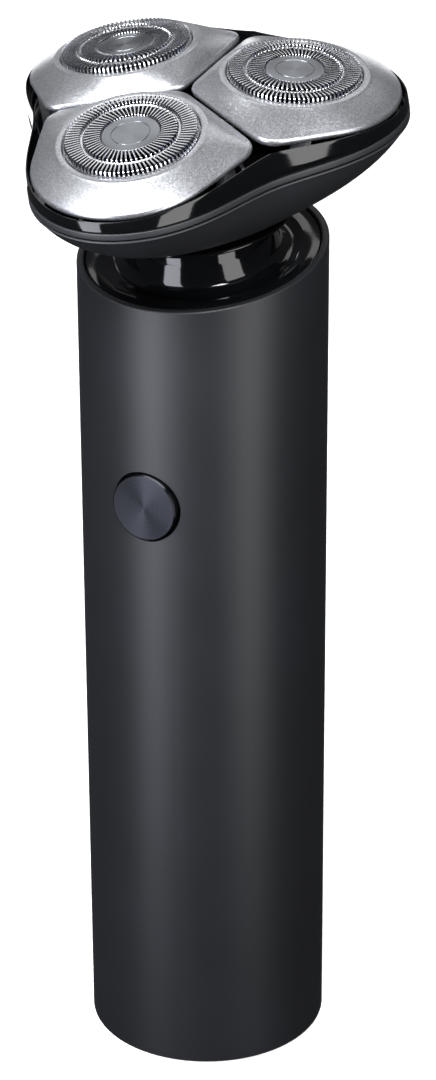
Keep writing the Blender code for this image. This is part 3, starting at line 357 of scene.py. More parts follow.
def turned_button():
    """Black-anodised aluminium turned on its face: dark, with two bright wedges where light catches."""
    return lathed("aluminium_anodised_face_turned", "1E1F22", "313237", 0.3, 0.16, 0.004, Anisotropic=0.9)


def foil_steel():
    """Hardened stainless steel, electro-polished after the slots are cut: bright, with soft fine lines."""
    return lathed("stainless_steel_polished", "D6D7DA", "ECEDEF", 0.24, 0.2, 0.001, Anisotropic=0.3)


def hub_steel():
    """Stainless steel disc, finely face-turned: mid grey and softly shiny."""
    return lathed("stainless_steel_face_turned", "9A9DA2", "A9ACB1", 0.34, 0.12, 0.002, Anisotropic=0.5)


def cutter_steel():
    """Ground cutter steel with the bluish oxide film that hardening leaves."""
    return lathed("cutter_steel_blued", "12141F", "333A5C", 0.28, 0.3, 0.003, Anisotropic=0.2)


def plated_steel():
    """Zinc-plated steel: a cool grey, patchy shine."""
    made, tree, shader, place = blank("steel_zinc_plated", {"Metallic": 1.0})
    patch = add(tree, "ShaderNodeTexVoronoi", {"Vector": (place, "Object"), "Scale": per_metre(0.8)})
    grey = add(tree, "ShaderNodeSeparateColor", {"Color": (patch, "Color")})
    blend_colour(tree, shader, (grey, 0), "A6A8AC", "B7B9BC")
    vary(tree, shader, "Roughness", (grey, 1), 0.28, 0.4)
    return made


def board_laminate():
    """Glass-epoxy laminate under green solder mask, with the weave just showing."""
    made, tree, shader, place = blank("glass_epoxy_green_mask", {"IOR": 1.55})
    weave = add(tree, "ShaderNodeTexChecker", {"Vector": (place, "Object"), "Scale": per_metre(0.6)})
    blend_colour(tree, shader, (weave, "Fac"), "0F5A2C", "13652F")
    vary(tree, shader, "Roughness", (weave, "Fac"), 0.3, 0.36)
    return made


FINISHES = {
    "body_black": anodised_black(),
    "matte_black": matte_abs(),
    "gloss_black": piano_abs(),
    "silver_paint": silver_lacquer(),
    "polished_steel": foil_steel(),
    "brushed_steel": hub_steel(),
    "plated_steel": plated_steel(),
    "rubber": moulded("nitrile_rubber_moulded", "0D0D0D", "151515", 0.7, 0.5, 0.01, IOR=1.52),
    "grey_nylon": moulded("nylon_glass_filled", "8A8A85", "989892", 0.5, 0.4, 0.01, IOR=1.53),
    "white_acetal": moulded("acetal_moulded", "DFDED8", "E9E8E2", 0.35, 0.6, 0.004, IOR=1.48),
    "board": board_laminate(),
    "cell_wrap": moulded("pvc_shrink_wrap", "1B4A86", "225494", 0.28, 1.2, 0.006, IOR=1.53),
}
BUTTON_METAL = turned_button()
CUTTER_METAL = cutter_steel()


def finish_frame_nodes():
    """Each carried-over node gets the finish of its material slot."""
    for part in frame["record"]["subparts"]:
        mesh = frame["nodes"][part["node"]].data
        mesh.materials.clear()
        mesh.materials.append(FINISHES[part["material_slot"]])


# ---------------------------------------------------------------- handle

WALL = 1.2
BORE = BODY - WALL
BUTTON = 5.6             # radius
BUTTON_GAP = 0.25
BUTTON_CHAMFER = 0.22
BUTTON_DEPTH = 2.2
RIM_EDGE = 0.3           # radii of the broken edges
BASE_EDGE = 0.15
HOLE_EDGE = 0.1
EDGE_STEPS = 4
COLUMNS = [-pi / 2 + 2 * pi * i / ROUND for i in range(ROUND)]
WINDOW = 8               # half the columns and rows of the grid that the button's hole takes
WINDOW_HALF = 7.0        # half the window's height
HOLE_LAYERS = 5          # rings of faces between the window's border and the hole

PLATE_EDGE = 0.25
PLATE_BASE = 0.05        # the plate stands this far above the tube's end
PLATE_FLOOR = 3.0        # thickness inside the plate's wall, and the wall's width
WELL_GAP = 0.35          # room round a screw's head
WELL_DEPTH = 2.2
SCREW_HOLE = 1.5
MOUTH_GAP = 0.3          # room round the socket's shell
SHELL = 0.35             # thickness of the socket's steel
TONGUE = 0.35            # half the contact tongue's thickness


def rim_at(y):
    """Height of the slanted rim's plane."""
    return RIM + y * tan(TILT)


def bored_wall(bm, radius, hole):
    """A tube wall with a round hole at the front; returns its base, top and hole loops."""
    rows = [BASE_EDGE]
    rows += [BUTTON_HEIGHT - WINDOW_HALF + WINDOW_HALF * k / WINDOW for k in range(2 * WINDOW + 1)]
    grid = {}

    def corner(i, k):
        i %= ROUND
        if (i, k) not in grid:
            a = COLUMNS[i]
            z = rows[k] if k < len(rows) else rim_at(radius * sin(a)) - RIM_EDGE
            grid[(i, k)] = bm.verts.new((radius * cos(a), radius * sin(a), z))
        return grid[(i, k)]

    for k in range(len(rows)):
        for i in range(ROUND):
            offset = (i + WINDOW) % ROUND
            if offset < 2 * WINDOW and 1 <= k < len(rows) - 1:
                continue
            bm.faces.new((corner(i, k), corner(i + 1, k), corner(i + 1, k + 1), corner(i, k + 1)))
    border = [(i, 1) for i in range(-WINDOW, WINDOW)]
    border += [(WINDOW, 1 + k) for k in range(2 * WINDOW)]
    border += [(WINDOW - i, 1 + 2 * WINDOW) for i in range(2 * WINDOW)]
    border += [(-WINDOW, 1 + 2 * WINDOW - k) for k in range(2 * WINDOW)]
    outer = [corner(i, k) for i, k in border]
    ring = outer
    for layer in range(1, HOLE_LAYERS + 1):
        share = layer / HOLE_LAYERS
        made = []
        for vert in outer:
            x, z = vert.co.x, vert.co.z - BUTTON_HEIGHT
            away = hypot(x, z)
            x2 = x * (1 - share) + x / away * hole * share
            z2 = z * (1 - share) + z / away * hole * share
            made.append(bm.verts.new((x2, -sqrt(radius ** 2 - x2 ** 2), z2 + BUTTON_HEIGHT)))
        bridge(bm, ring, made)
        ring = made
    base = [corner(i, 0) for i in range(ROUND)]
    top = [corner(i, len(rows)) for i in range(ROUND)]
    return base, top, ring


def handle_tube():
    """The tube, with softly broken edges at the rim and base and a chamfered hole for the button."""
    bm = bmesh.new()
    hole = BUTTON + BUTTON_GAP
    out_base, out_top, out_hole = bored_wall(bm, BODY, hole + HOLE_EDGE)
    in_base, in_top, in_hole = bored_wall(bm, BORE, hole)
    shrink = hole / (hole + HOLE_EDGE)
    chamfer = [bm.verts.new((v.co.x * shrink, v.co.y + HOLE_EDGE,
                             BUTTON_HEIGHT + (v.co.z - BUTTON_HEIGHT) * shrink)) for v in out_hole]
    bridge_all(bm, [out_hole, chamfer, in_hole])

    def new_loop(radius, height_at):
        around = [(radius * cos(a), radius * sin(a)) for a in COLUMNS]
        return [bm.verts.new((x, y, height_at(y))) for x, y in around]

    def rim_loop(radius, drop):
        return new_loop(radius, lambda y: rim_at(y) - drop)

    def base_loop(radius, height):
        return new_loop(radius, lambda y: height)

    quarter = [pi / 2 * k / EDGE_STEPS for k in range(EDGE_STEPS + 1)]
    rim = [rim_loop(BODY - RIM_EDGE * (1 - cos(a)), RIM_EDGE * (1 - sin(a))) for a in quarter[1:]]
    rim += [rim_loop(BORE + RIM_EDGE * (1 - sin(a)), RIM_EDGE * (1 - cos(a))) for a in quarter[:-1]]
    bridge_all(bm, [out_top, *rim, in_top])
    base = [base_loop(BODY - BASE_EDGE * (1 - cos(a)), BASE_EDGE * (1 - sin(a))) for a in quarter[1:]]
    bridge_all(bm, [out_base, *base, in_base])
    piece("handle_tube", bm, UPRIGHT, FINISHES["body_black"], "handle", ("body_tube",))


def power_button():
    """The pressed disc: a flat, face-turned top inside a narrow chamfer."""
    place = axis_frame((0, -BUTTON_FACE * MM, BUTTON_HEIGHT * MM), (0, -1, 0), (1, 0, 0))
    profile = fillet([(0.0, 0.0, 0), (BUTTON - BUTTON_CHAMFER, 0.0, 0.03), (BUTTON, -BUTTON_CHAMFER, 0.05),
                      (BUTTON, -BUTTON_DEPTH, 0), (0.0, -BUTTON_DEPTH, 0)])
    turned("power_button", profile, place, BUTTON_METAL, "button", ("button_cap",), sharp=20)


def base_plate():
    """The bottom cap: a flat disc with flat-bottomed screw wells and the socket's rounded mouth."""
    low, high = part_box("bottom_cap")
    radius, top = high.x / MM, high.z / MM
    bore = radius - PLATE_FLOOR
    bm = bmesh.new()
    revolve(bm, fillet([(0.0, PLATE_BASE, 0), (radius, PLATE_BASE, PLATE_EDGE), (radius, top, 0),
                        (bore, top, 0), (bore, PLATE_FLOOR, 0), (0.0, PLATE_FLOOR, 0)]))
    made = piece("base_plate", bm, UPRIGHT, FINISHES["matte_black"], "handle", ("bottom_cap",))
    tools = bmesh.new()
    for name in ("left", "right"):
        centre, head = screw_head(name)
        revolve(tools, [(head + WELL_GAP, -1.0), (head + WELL_GAP, WELL_DEPTH)], FINE, centre=centre)
        revolve(tools, [(SCREW_HOLE, WELL_DEPTH - 0.1), (SCREW_HOLE, PLATE_FLOOR + 1.0)], FINE, centre=centre)
    socket_low, socket_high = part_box("usb_socket")
    stadium(tools, socket_low, socket_high, MOUTH_GAP, (-1.0, PLATE_FLOOR + 1.5))
    carve(made, tools)


def charging_socket():
    """The socket's drawn steel shell with round ends, and the contact tongue inside it."""
    low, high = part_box("usb_socket")
    mouth, back = low.z / MM, high.z / MM
    bm = bmesh.new()
    stadium(bm, low, high, 0.0, (mouth, back))
    shell = piece("charging_socket", bm, UPRIGHT, FINISHES["plated_steel"], "handle", ("usb_socket",))
    bm = bmesh.new()
    stadium(bm, low, high, -SHELL, (mouth - 1, back - 1.2))
    carve(shell, bm)
    middle = (low.y + high.y) / 2 / MM
    side = high.x / MM - 1.5
    bm = bmesh.new()
    block(bm, rectangle(-side, side, middle - TONGUE, middle + TONGUE), (mouth + 1.0, back - 1.1))
    piece("socket_tongue", bm, UPRIGHT, FINISHES["matte_black"], "handle", ())


def screw_head(name):
    """The centre and radius of a base screw's head."""
    low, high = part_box("bottom_screw_" + name)
    return ((low.x + high.x) / 2 / MM, (low.y + high.y) / 2 / MM), (high.x - low.x) / 2 / MM


def base_screws():
    """Pan heads with a cross recess, deep in their wells."""
    shank = 1.2
    head_height = 1.1
    arm, arm_width, recess = 1.2, 0.25, 0.6      # half lengths of the cross, and its depth
    for name in ("left", "right"):
        low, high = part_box("bottom_screw_" + name)
        centre, head = screw_head(name)
        face, end = low.z / MM, high.z / MM
        profile = fillet([(0.0, face, 0), (head, face, 0.35), (head, face + head_height, 0),
                          (shank, face + head_height, 0), (shank, end, 0), (0.0, end, 0)])
        made = turned("base_screw_" + name, profile, UPRIGHT, FINISHES["plated_steel"], "handle",
                      ("bottom_screw_" + name,), FINE, centre)
        bm = bmesh.new()
        for wide, deep in ((arm, arm_width), (arm_width, arm)):
            x, y = centre
            block(bm, rectangle(x - wide, x + wide, y - deep, y + deep), (face - 0.5, face + recess))
        carve(made, bm)


NECK = 11.0              # outer radius of the neck
NECK_TOP = 5.6
NECK_BORE = 9.3
LIP = -0.35              # height of the collar's flat lip
SKIRT = -4.6             # height of the collar's lower end
COLLAR_GAP = 0.12        # room between the collar and the tube's bore
SHAFT_HOLE = 5.0
NECK_FLOOR = 1.6


def collar():
    """The glossy dish inside the rim: a flat lip to the bore, a hollow, and a sweep up into the neck."""
    fit = BORE - COLLAR_GAP
    hollow = [(16.2, LIP, 0.0), (15.4, LIP - 0.45, 0.5), (14.0, LIP - 0.95, 1.2), (12.4, LIP + 0.1, 2.0)]
    neck = [(NECK + 0.35, LIP + 3.0, 1.6), (NECK, NECK_TOP, 0.25), (NECK_BORE, NECK_TOP, 0.2),
            (NECK_BORE, NECK_FLOOR, 0), (SHAFT_HOLE, NECK_FLOOR, 0)]
    underside = [(SHAFT_HOLE, -2.4, 0), (16.0, -4.0, 0)]

    def edge(height):
        """A loop on the tube's bore, which is an oval in the head's tilted frame."""
        loop = []
        for i in range(ROUND):
            a = 2 * pi * i / ROUND
            s, c = sin(a), cos(a)
            shift = height * sin(TILT)
            lean = (s * cos(TILT)) ** 2 + c ** 2
            along = s * cos(TILT) * shift
            reach = (along + sqrt(along ** 2 - lean * (shift ** 2 - fit ** 2))) / lean
            loop.append((reach * c, reach * s, height))
        return loop

    loops = [edge(SKIRT), edge(LIP - 0.35)]
    for drop, shrink in ((0.18, 0.9985), (0.06, 0.995), (0.0, 0.988)):
        loops.append([(x * shrink, y * shrink, LIP - drop) for x, y, _ in edge(LIP)])
    loops += [circle(r, z) for r, z in fillet(hollow + neck + underside, steps=6)]
    bm = bmesh.new()
    skin(bm, loops, closed=True)
    piece("neck_collar", bm, HEAD, FINISHES["gloss_black"], "handle", ("top_collar",))


# ---------------------------------------------------------------- head

SEAM = 20.07             # height of the seam line
SEAM_MEAN = 29.04        # the outline's mean radius, and how far its lobes stand out from that
SEAM_LOBE = 5.15
FOOT = 15.4              # radius and height of the bowl's foot
FOOT_HEIGHT = 8.6
BOWL_ROUND = 0.5         # 0 makes the bowl's side a cone, and 1 a quarter of an ellipse
BOWL_WALL = 1.3
BOWL_ROWS = 24
STRIP_GAP = 0.3
STRIP = 1.3              # height of the matte strip's top above the seam line
STRIP_WIDTH = 0.9
SHELF = SEAM + 1.6       # where the tray's wall starts
TRAY_FLOOR = 20.2
TRAY_RISE = 3.35         # how far the tray's lip reaches up beside the pods
OUTLINE = 180            # points of the head's outline
POD_PLACE = HEAD.inverted() @ PODS["front"].translation
BALL_HEIGHT = POD_PLACE.z / MM
BALL_REACH = hypot(*POD_PLACE.xy) / MM
SPLAY = HEAD.to_3x3().col[2].angle(PODS["front"].to_3x3().col[2])
EAR = 1.5                # half the width of the posts, lugs and ears that carry pivots


def lobe(angle):
    """The angle from the nearest pod's direction."""
    return (angle + pi / 2 + pi / 3) % (2 * pi / 3) - pi / 3


def seam_radius(angle):
    return SEAM_MEAN + SEAM_LOBE * cos(3 * lobe(angle))


def outline(radius_at, height_at):
    """A loop round the head, whose height is a number or a function of the angle."""
    loop = []
    for i in range(OUTLINE):
        a = 2 * pi * i / OUTLINE - pi / 2
        r = radius_at(a)
        z = height_at(a) if callable(height_at) else height_at
        loop.append((r * cos(a), r * sin(a), z))
    return loop


def seam_loop(inset, height_at):
    """A loop that stays inside the seam's outline by an inset."""
    return outline(lambda a: seam_radius(a) - inset, height_at)


def bowl_loop(share, inset=0.0, lift=0.0):
    """A loop on the bowl: share runs from its foot to its seam."""
    rise = (1 - BOWL_ROUND) * share + BOWL_ROUND * (1 - cos(share * pi / 2))
    spread = (1 - BOWL_ROUND) * share + BOWL_ROUND * sin(share * pi / 2)
    height = FOOT_HEIGHT + rise * (SEAM - FOOT_HEIGHT) + lift
    return outline(lambda a: FOOT + (seam_radius(a) - FOOT) * spread - inset, height)


def bowl():
    """The matte lower shell: a round foot that opens into three lobes, with a soft lip at the seam."""
    loops = [bowl_loop(0.0, 0.35), bowl_loop(0.0, 0.1, 0.08)]
    loops += [bowl_loop(k / BOWL_ROWS) for k in range(1, BOWL_ROWS)]
    loops += [bowl_loop(1.0, 0.0, -0.2), bowl_loop(1.0, 0.06, -0.06), bowl_loop(1.0, 0.2),
              bowl_loop(1.0, 0.45), bowl_loop(0.96, 0.45)]
    loops += [bowl_loop(share, BOWL_WALL) for share in (0.9, 0.7, 0.5, 0.3, 0.1)]
    loops += [bowl_loop(0.0, BOWL_WALL, 0.3)]
    bm = bmesh.new()
    skin(bm, loops, closed=True)
    piece("bowl_shell", bm, HEAD, FINISHES["matte_black"], "head", ("lower_shell",))


def seam_strip():
    """The matte strip above the seam line."""
    low, high = SEAM + STRIP_GAP, SEAM + STRIP
    section = fillet([(0.0, low, 0.12), (0.0, high, 0.12), (STRIP_WIDTH, high, 0), (STRIP_WIDTH, low, 0)],
                     closed=True, steps=3)
    bm = bmesh.new()
    skin(bm, [seam_loop(inset, z) for inset, z in section], closed=True)
    piece("seam_strip", bm, HEAD, FINISHES["matte_black"], "head", ("frame_ring",))


def pod_plane(angle, above):
    """Height of a plane parallel to the nearest pod, along the tray's outline."""
    outward = seam_radius(angle) * cos(lobe(angle)) - BALL_REACH
    return BALL_HEIGHT + above / cos(SPLAY) - outward * tan(SPLAY)


def tray():
    """The polished tray under the pods: its wall leans in and ends in a rounded lip beside them."""
    def wall(inset, share):
        return seam_loop(inset, lambda a: SHELF + (pod_plane(a, TRAY_RISE) - SHELF) * share)

    under = [(1.4, 19.2), (0.9, 20.0), (0.35, SHELF - 0.2), (0.35, SHELF), (0.15, SHELF)]
    side = [(0.0, 0.06), (0.02, 0.3), (0.1, 0.6), (0.17, 0.85)]
    lip = [(0.22, 0.95), (0.3, 1.0), (0.42, 1.0), (0.5, 0.94), (0.55, 0.8), (0.6, 0.4)]
    loops = [seam_loop(inset, z) for inset, z in under] + [wall(inset, share) for inset, share in side + lip]
    loops += [seam_loop(0.9, TRAY_FLOOR + 0.2), seam_loop(1.1, TRAY_FLOOR)]
    bm = bmesh.new()
    skin(bm, loops)
    made = piece("pod_tray", bm, HEAD, FINISHES["gloss_black"], "head", ("head_deck",))
    spindle_hole = 3.1
    tools = bmesh.new()
    for name in SIDES:
        at = (HEAD.inverted() @ PODS[name].translation) / MM
        revolve(tools, [(spindle_hole, 18.0), (spindle_hole, 21.5)], FINE, centre=(at.x, at.y))
    carve(made, tools)


def tray_posts():
    """Six posts that stand on the tray and carry the pods' pivots."""
    inside, outside = 12.4, 13.9
    posts = bmesh.new()
    for name in SIDES:
        turn = HEAD.inverted() @ PODS[name]
        out = turn.to_3x3() @ Vector((1, 0, 0))
        angle = atan2(out.y, out.x)
        at = turn.translation / MM
        for side in (-1, 1):
            near, far = sorted((side * inside, side * outside))
            plan = [(at.x + x * cos(angle) - y * sin(angle), at.y + x * sin(angle) + y * cos(angle))
                    for x, y in rectangle(-EAR, EAR, near, far)]
            block(posts, plan, (TRAY_FLOOR - 0.3, at.z + 1.2))
    piece("tray_posts", posts, HEAD, FINISHES["gloss_black"], "head", ())


def neck_disc():
    """The thin glossy flange under the bowl, its spigot in the neck and its two gimbal ears."""
    spigot, spigot_bore, end = 9.0, 7.4, 2.0
    flange, top = 15.6, 7.3
    inside, outside, ear_top = 12.8, 13.7, 10.9
    section = fillet([(spigot, end, 0.2), (spigot, 6.6, 0.2), (flange - 0.4, 6.55, 0.3), (flange, 6.95, 0.25),
                      (flange - 0.4, top, 0.25), (spigot_bore, top, 0), (spigot_bore, end, 0)], closed=True)
    bm = bmesh.new()
    revolve(bm, section, closed=True)
    for side in (-1, 1):
        near, far = sorted((side * inside, side * outside))
        block(bm, rectangle(near, far, -EAR, EAR), (top - 0.2, ear_top))
    piece("neck_disc", bm, HEAD, FINISHES["gloss_black"], "head_seat", ("neck_ring",))


# ---------------------------------------------------------------- pods

POD_TOP = 6.5            # height of the flat ring round the cap
POD_BORE = 10.62         # the ring's inner and outer radius
POD_RING = 11.75
SLOPE_TOP = POD_TOP - 0.12
SHOULDER = 4.1
POD_FOOT = 2.9
POD_STEPS = 192
SLOPE_ROWS = 12
CROWN = 0.14             # 0 makes the slope straight, and more rounds it towards the shoulder
CAP_TOP = 7.3
CAP_RADIUS = 10.36
CAP_FOOT = 4.4
BAR = 0.25               # thickness of the bars between the slots
OUTER_SLOTS = 90
INNER_SLOTS = 60
HUB = 4.45
HUB_TOP = 7.05
CUTTER = 9.1
CUTTER_TOP = 4.25
# The pod's outline is the hull of these discs, given as x, y and radius.
DISCS = ((1.3, 0.0, 15.3), (-4.0, 14.1, 3.45), (-4.0, -14.1, 3.45), (-12.24, 0.0, 3.5))


def pod_radius(angle):
    """Distance from the cap's centre to the hull of the pod's discs."""
    sides = 360
    best = 1e9
    for i in range(sides):
        normal = 2 * pi * i / sides
        facing = cos(angle - normal)
        if facing > 0.05:
            reach = max(x * cos(normal) + y * sin(normal) + r for x, y, r in DISCS)
            best = min(best, reach / facing)
    return best


POD_EDGE = [pod_radius(2 * pi * i / POD_STEPS) for i in range(POD_STEPS)]


def pod_loop(share, inset, height):
    """A loop between the ring round the cap (share 0) and the pod's outline (share 1)."""
    loop = []
    for i in range(POD_STEPS):
        a = 2 * pi * i / POD_STEPS
        r = POD_RING + (POD_EDGE[i] - inset - POD_RING) * share
        loop.append((r * cos(a), r * sin(a), height))
    return loop


def pod_shell(name):
    """The silver pod: a narrow flat ring, a gently crowned slope, a soft shoulder and an upright edge."""
    inside, outside, lug_foot = 14.2, 16.0, -1.3
    flat = [(POD_BORE, POD_TOP - 1.0), (POD_BORE, POD_TOP - 0.12), (POD_BORE + 0.1, POD_TOP - 0.02),
            (POD_BORE + 0.22, POD_TOP), (POD_RING - 0.3, POD_TOP - 0.01), (POD_RING - 0.1, POD_TOP - 0.05)]
    loops = [circle(r, z, POD_STEPS) for r, z in flat]
    for k in range(SLOPE_ROWS + 1):
        share = k / SLOPE_ROWS
        fall = (1 - CROWN) * share + CROWN * share ** 3
        loops.append(pod_loop(share * 0.985, 0.3, SLOPE_TOP - (SLOPE_TOP - SHOULDER) * fall))
    loops += [pod_loop(1.0, 0.22, SHOULDER - 0.08), pod_loop(1.0, 0.13, SHOULDER - 0.22),
              pod_loop(1.0, 0.0, SHOULDER - 0.6), pod_loop(1.0, 0.1, POD_FOOT + 0.3),
              pod_loop(1.0, 0.2, POD_FOOT + 0.1), pod_loop(1.0, 0.35, POD_FOOT), pod_loop(1.0, 1.0, POD_FOOT),
              pod_loop(1.0, 1.2, SHOULDER - 0.8)]
    loops += [circle(12.0, POD_TOP - 1.3, POD_STEPS)]
    bm = bmesh.new()
    skin(bm, loops, closed=True)
    for side in (-1, 1):
        near, far = sorted((side * inside, side * outside))
        block(bm, rectangle(-EAR, EAR, near, far), (lug_foot, SHOULDER - 0.75))
    piece("pod_shell_" + name, bm, PODS[name], FINISHES["silver_paint"], "pod_" + name, ("pod_" + name,),
          sharp=50)


def bars(bm, path, count, share, slant):
    """Bars between slots, along a path of (radius, height). A bar takes a share of the pitch, and turns by
    slant in radians with each millimetre outwards."""
    pitch = 2 * pi / count
    start = path[0][0]
    inner = offset_path(path, BAR)
    for i in range(count):
        loops = []
        for (r, z), (r2, z2) in zip(path, inner):
            middle = i * pitch + slant * (r - start)
            half = pitch * share / 2
            ring = []
            for radius, height, turn in ((r, z, -half), (r, z, half), (r2, z2, half), (r2, z2, -half)):
                a = middle + turn
                ring.append((radius * cos(a), radius * sin(a), height))
            loops.append(ring)
        skin(bm, loops)


def offset_path(path, thickness):
    """The same path moved to its inner side."""
    moved = []
    for i, (r, z) in enumerate(path):
        before = path[max(i - 1, 0)]
        after = path[min(i + 1, len(path) - 1)]
        along = Vector((after[0] - before[0], after[1] - before[1])).normalized()
        moved.append((r + along.y * thickness, z - along.x * thickness))
    return moved


def foil_cap(name):
    """The slotted cap: an outer and an inner track of bars, the groove ring between, and the foot ring."""
    flange = 11.6
    bm = bmesh.new()
    foot = [(CAP_RADIUS, 6.25), (CAP_RADIUS, CAP_FOOT), (flange, CAP_FOOT), (flange, 5.1),
            (CAP_RADIUS + 0.02, 5.1), (CAP_RADIUS + 0.02, 6.3), (CAP_RADIUS - 0.32, 6.3),
            (CAP_RADIUS - 0.32, CAP_FOOT)]
    revolve(bm, foot[::-1], closed=True)
    groove = fillet([(7.28, 6.62, 0.05), (7.30, 6.92, 0.06), (7.42, 6.80, 0.05), (7.56, 6.80, 0.05),
                     (7.68, 6.92, 0.06), (7.70, 6.62, 0.05), (7.49, 6.5, 0.05)], closed=True, steps=2)
    revolve(bm, groove, closed=True)
    outer = fillet([(7.62, 6.7, 0), (7.74, CAP_TOP - 0.02, 0.22), (CAP_RADIUS - 0.06, CAP_TOP - 0.02, 0.42),
                    (CAP_RADIUS, 6.2, 0)], steps=4)
    bars(bm, outer, OUTER_SLOTS, share=0.36, slant=0.012)
    inner = fillet([(HUB - 0.06, 6.75, 0), (HUB + 0.1, CAP_TOP - 0.02, 0.3), (7.2, CAP_TOP - 0.02, 0.22),
                    (7.34, 6.7, 0)], steps=4)
    bars(bm, inner, INNER_SLOTS, share=0.3, slant=0.03)
    piece("foil_cap_" + name, bm, PODS[name], FINISHES["polished_steel"], "pod_" + name, ("cap_" + name,))


def cap_disc(name):
    """The hub disc: flat, face-turned, with one plain engraved ring."""
    line = 2.95
    depth = HUB_TOP - 0.1
    stem = 1.2
    profile = fillet([(0.0, HUB_TOP, 0), (line - 0.11, HUB_TOP, 0), (line - 0.06, depth, 0),
                      (line + 0.06, depth, 0), (line + 0.11, HUB_TOP, 0), (HUB, HUB_TOP, 0.1),
                      (HUB, 6.3, 0), (stem, 6.35, 0), (stem, 4.3, 0), (0.0, 4.3, 0)])
    turned("cap_disc_" + name, profile, PODS[name], FINISHES["brushed_steel"], "pod_" + name,
           ("cap_hub_" + name,), sharp=30)


def cutter_wheel(name):
    """The spinning cutter: a disc on a hub, with a ring of raked blades under each track of slots."""
    blades = 15
    half = 0.245            # half a blade's thickness
    rake = 0.16             # how far a blade's tip runs ahead of its root, in radians
    root, tip = 4.15, 6.05
    hub, hub_end, underside = 3.0, -0.85, 3.6
    bm = bmesh.new()
    wheel = [(0.0, CUTTER_TOP), (CUTTER, CUTTER_TOP), (CUTTER, underside), (hub, underside),
             (hub, hub_end), (0.0, hub_end)]
    revolve(bm, wheel[::-1], FINE)
    for start, end in ((4.9, 7.0), (8.1, CUTTER - 0.05)):
        for i in range(blades):
            base = 2 * pi * i / blades
            loops = []
            for z, lead in ((root, 0.0), (tip, rake)):
                ring = []
                for r, side in ((start, -half), (end, -half), (end, half), (start, half)):
                    a = base + side / r + lead
                    ring.append((r * cos(a), r * sin(a), z))
                loops.append(ring)
            skin(bm, loops)
    piece("cutter_wheel_" + name, bm, PODS[name], CUTTER_METAL, "cutter_" + name, ("cutter_" + name,))


# ---------------------------------------------------------------- stage

FLOOR = 4.0                              # half the floor's side, in metres
FLOOR_DROP = 0.0003                      # keeps the floor just clear of the base
MIDDLE = Vector((0, 0, 0.10))            # what the soft boxes face, in metres
FACING = 27.42                           # degrees from the front to where the boxes' turns start
# Each box: name, turn and rise in degrees, distance, width and height in metres, power in watts, colour.
BOXES = (("key_box", -46, 0, 0.75, 0.32, 0.9, 7.0, "F2F5FF"),
         ("fill_box", 41, 0, 0.75, 0.36, 0.9, 4.4, "FFFFFF"),
         ("front_box", -20, 52, 0.8, 0.9, 0.2, 16.0, "FFFFFF"),
         ("back_box", 175, 52, 0.8, 0.7, 0.25, 0.7, "FFFFFF"),
         ("rear_left_box", -168, 0, 0.8, 0.25, 0.45, 0.8, "FFFFFF"),
         ("rear_right_box", 168, 0, 0.8, 0.2, 0.45, 0.5, "FFFFFF"))
CAMERA = (0.2334, -0.4358, 0.3180)       # metres
CAMERA_TURN = 27.92                      # degrees round from the front, downwards, and of roll
CAMERA_DOWN = 24.89
CAMERA_ROLL = -0.28
LENS = 110.5                             # focal length for a sensor 36 mm high
SENSOR = 36.0


def lay_floor():
    """A plain pale floor, left out of the shaver's reflections and bounced light."""
    mesh = bpy.data.meshes.new("floor")
    mesh.from_pydata([(x, y, 0) for x, y in rectangle(-FLOOR, FLOOR, -FLOOR, FLOOR)], [], [(0, 1, 2, 3)])
    floor = add_object("floor", mesh)
    floor.location.z = -FLOOR_DROP
    made, tree, shader, place = blank("floor_paper", {
        "Roughness": 0.95, "Base Color": linear("E8E8E8"), "Emission Color": linear("FFFFFF"),
        "Emission Strength": 0.62})
    grain = add(tree, "ShaderNodeTexNoise", {"Vector": (place, "Object"), "Scale": per_metre(2.0)})
    blend_colour(tree, shader, (grain, 0), "E6E6E6", "EAEAEA")
    mesh.materials.append(made)
    floor.visible_glossy = False
    floor.visible_diffuse = False


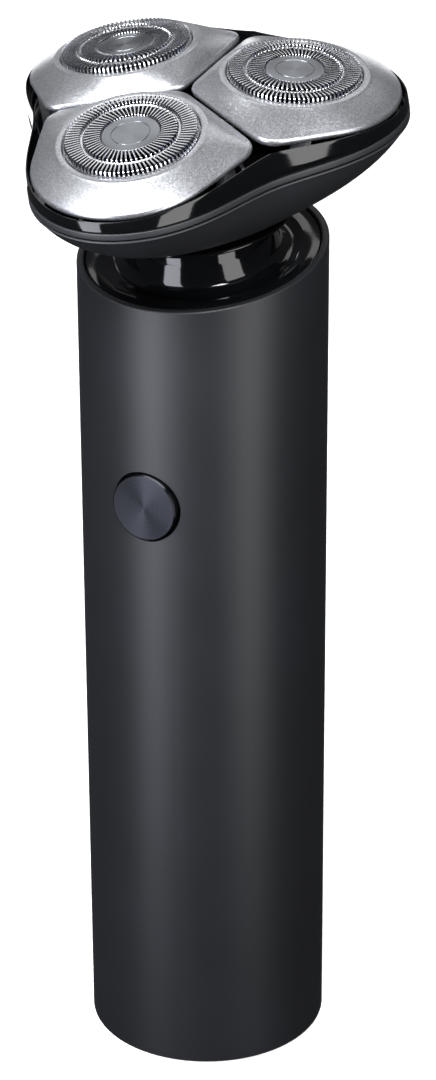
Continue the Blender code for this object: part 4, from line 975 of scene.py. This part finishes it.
def surround():
    """White where the camera sees it, and a faint cool light, stronger from overhead."""
    level, overhead = 0.05, 0.10
    world = bpy.data.worlds.new("surround")
    bpy.context.scene.world = world
    world.use_nodes = True
    tree = world.node_tree
    tree.nodes.clear()
    ray = add(tree, "ShaderNodeLightPath")
    place = add(tree, "ShaderNodeTexCoord")
    parts = add(tree, "ShaderNodeSeparateXYZ", {"Vector": (place, "Generated")})
    height = add(tree, "ShaderNodeMapRange", {"Value": (parts, 2), "From Min": 0.0, "From Max": 1.0,
                                              "To Min": level, "To Max": overhead})
    seen = add(tree, "ShaderNodeBackground", {"Color": linear("FFFFFF"), "Strength": 1.0})
    lit = add(tree, "ShaderNodeBackground", {"Color": linear("EDEFF6"), "Strength": (height, 0)})
    both = add(tree, "ShaderNodeMixShader", {0: (ray, "Is Camera Ray"), 1: (lit, 0), 2: (seen, 0)})
    add(tree, "ShaderNodeOutputWorld", {"Surface": (both, 0)})


def soft_boxes():
    """Upright soft boxes before and behind, and two wide ones above."""
    for name, turn, rise, away, wide, tall, power, colour in BOXES:
        light = bpy.data.lights.new(name, "AREA")
        light.shape = "RECTANGLE"
        light.size, light.size_y = wide, tall
        light.energy = power
        light.color = linear(colour)[:3]
        lamp = add_object(name, light)
        a = -pi / 2 + radians(FACING) + radians(turn)
        e = radians(rise)
        lamp.location = MIDDLE + Vector((cos(a) * cos(e), sin(a) * cos(e), sin(e))) * away
        lamp.rotation_euler = (MIDDLE - lamp.location).to_track_quat("-Z", "Y").to_euler()


def camera():
    """Above and to the right of the front, with a long lens."""
    lens = bpy.data.cameras.new("camera")
    lens.lens = LENS
    lens.sensor_fit = "VERTICAL"
    lens.sensor_height = SENSOR
    made = add_object("camera", lens)
    made.location = CAMERA
    turn = Matrix.Rotation(radians(CAMERA_TURN), 3, "Z") @ Matrix.Rotation(radians(90 - CAMERA_DOWN), 3, "X")
    made.rotation_euler = (turn @ Matrix.Rotation(radians(CAMERA_ROLL), 3, "Z")).to_euler()
    bpy.context.scene.camera = made
    bpy.context.scene.view_settings.view_transform = "Standard"


finish_frame_nodes()
handle_tube()
power_button()
base_plate()
charging_socket()
base_screws()
collar()
neck_disc()
bowl()
seam_strip()
tray()
tray_posts()
for side_name in SIDES:
    pod_shell(side_name)
    foil_cap(side_name)
    cap_disc(side_name)
    cutter_wheel(side_name)
lay_floor()
surround()
soft_boxes()
camera()
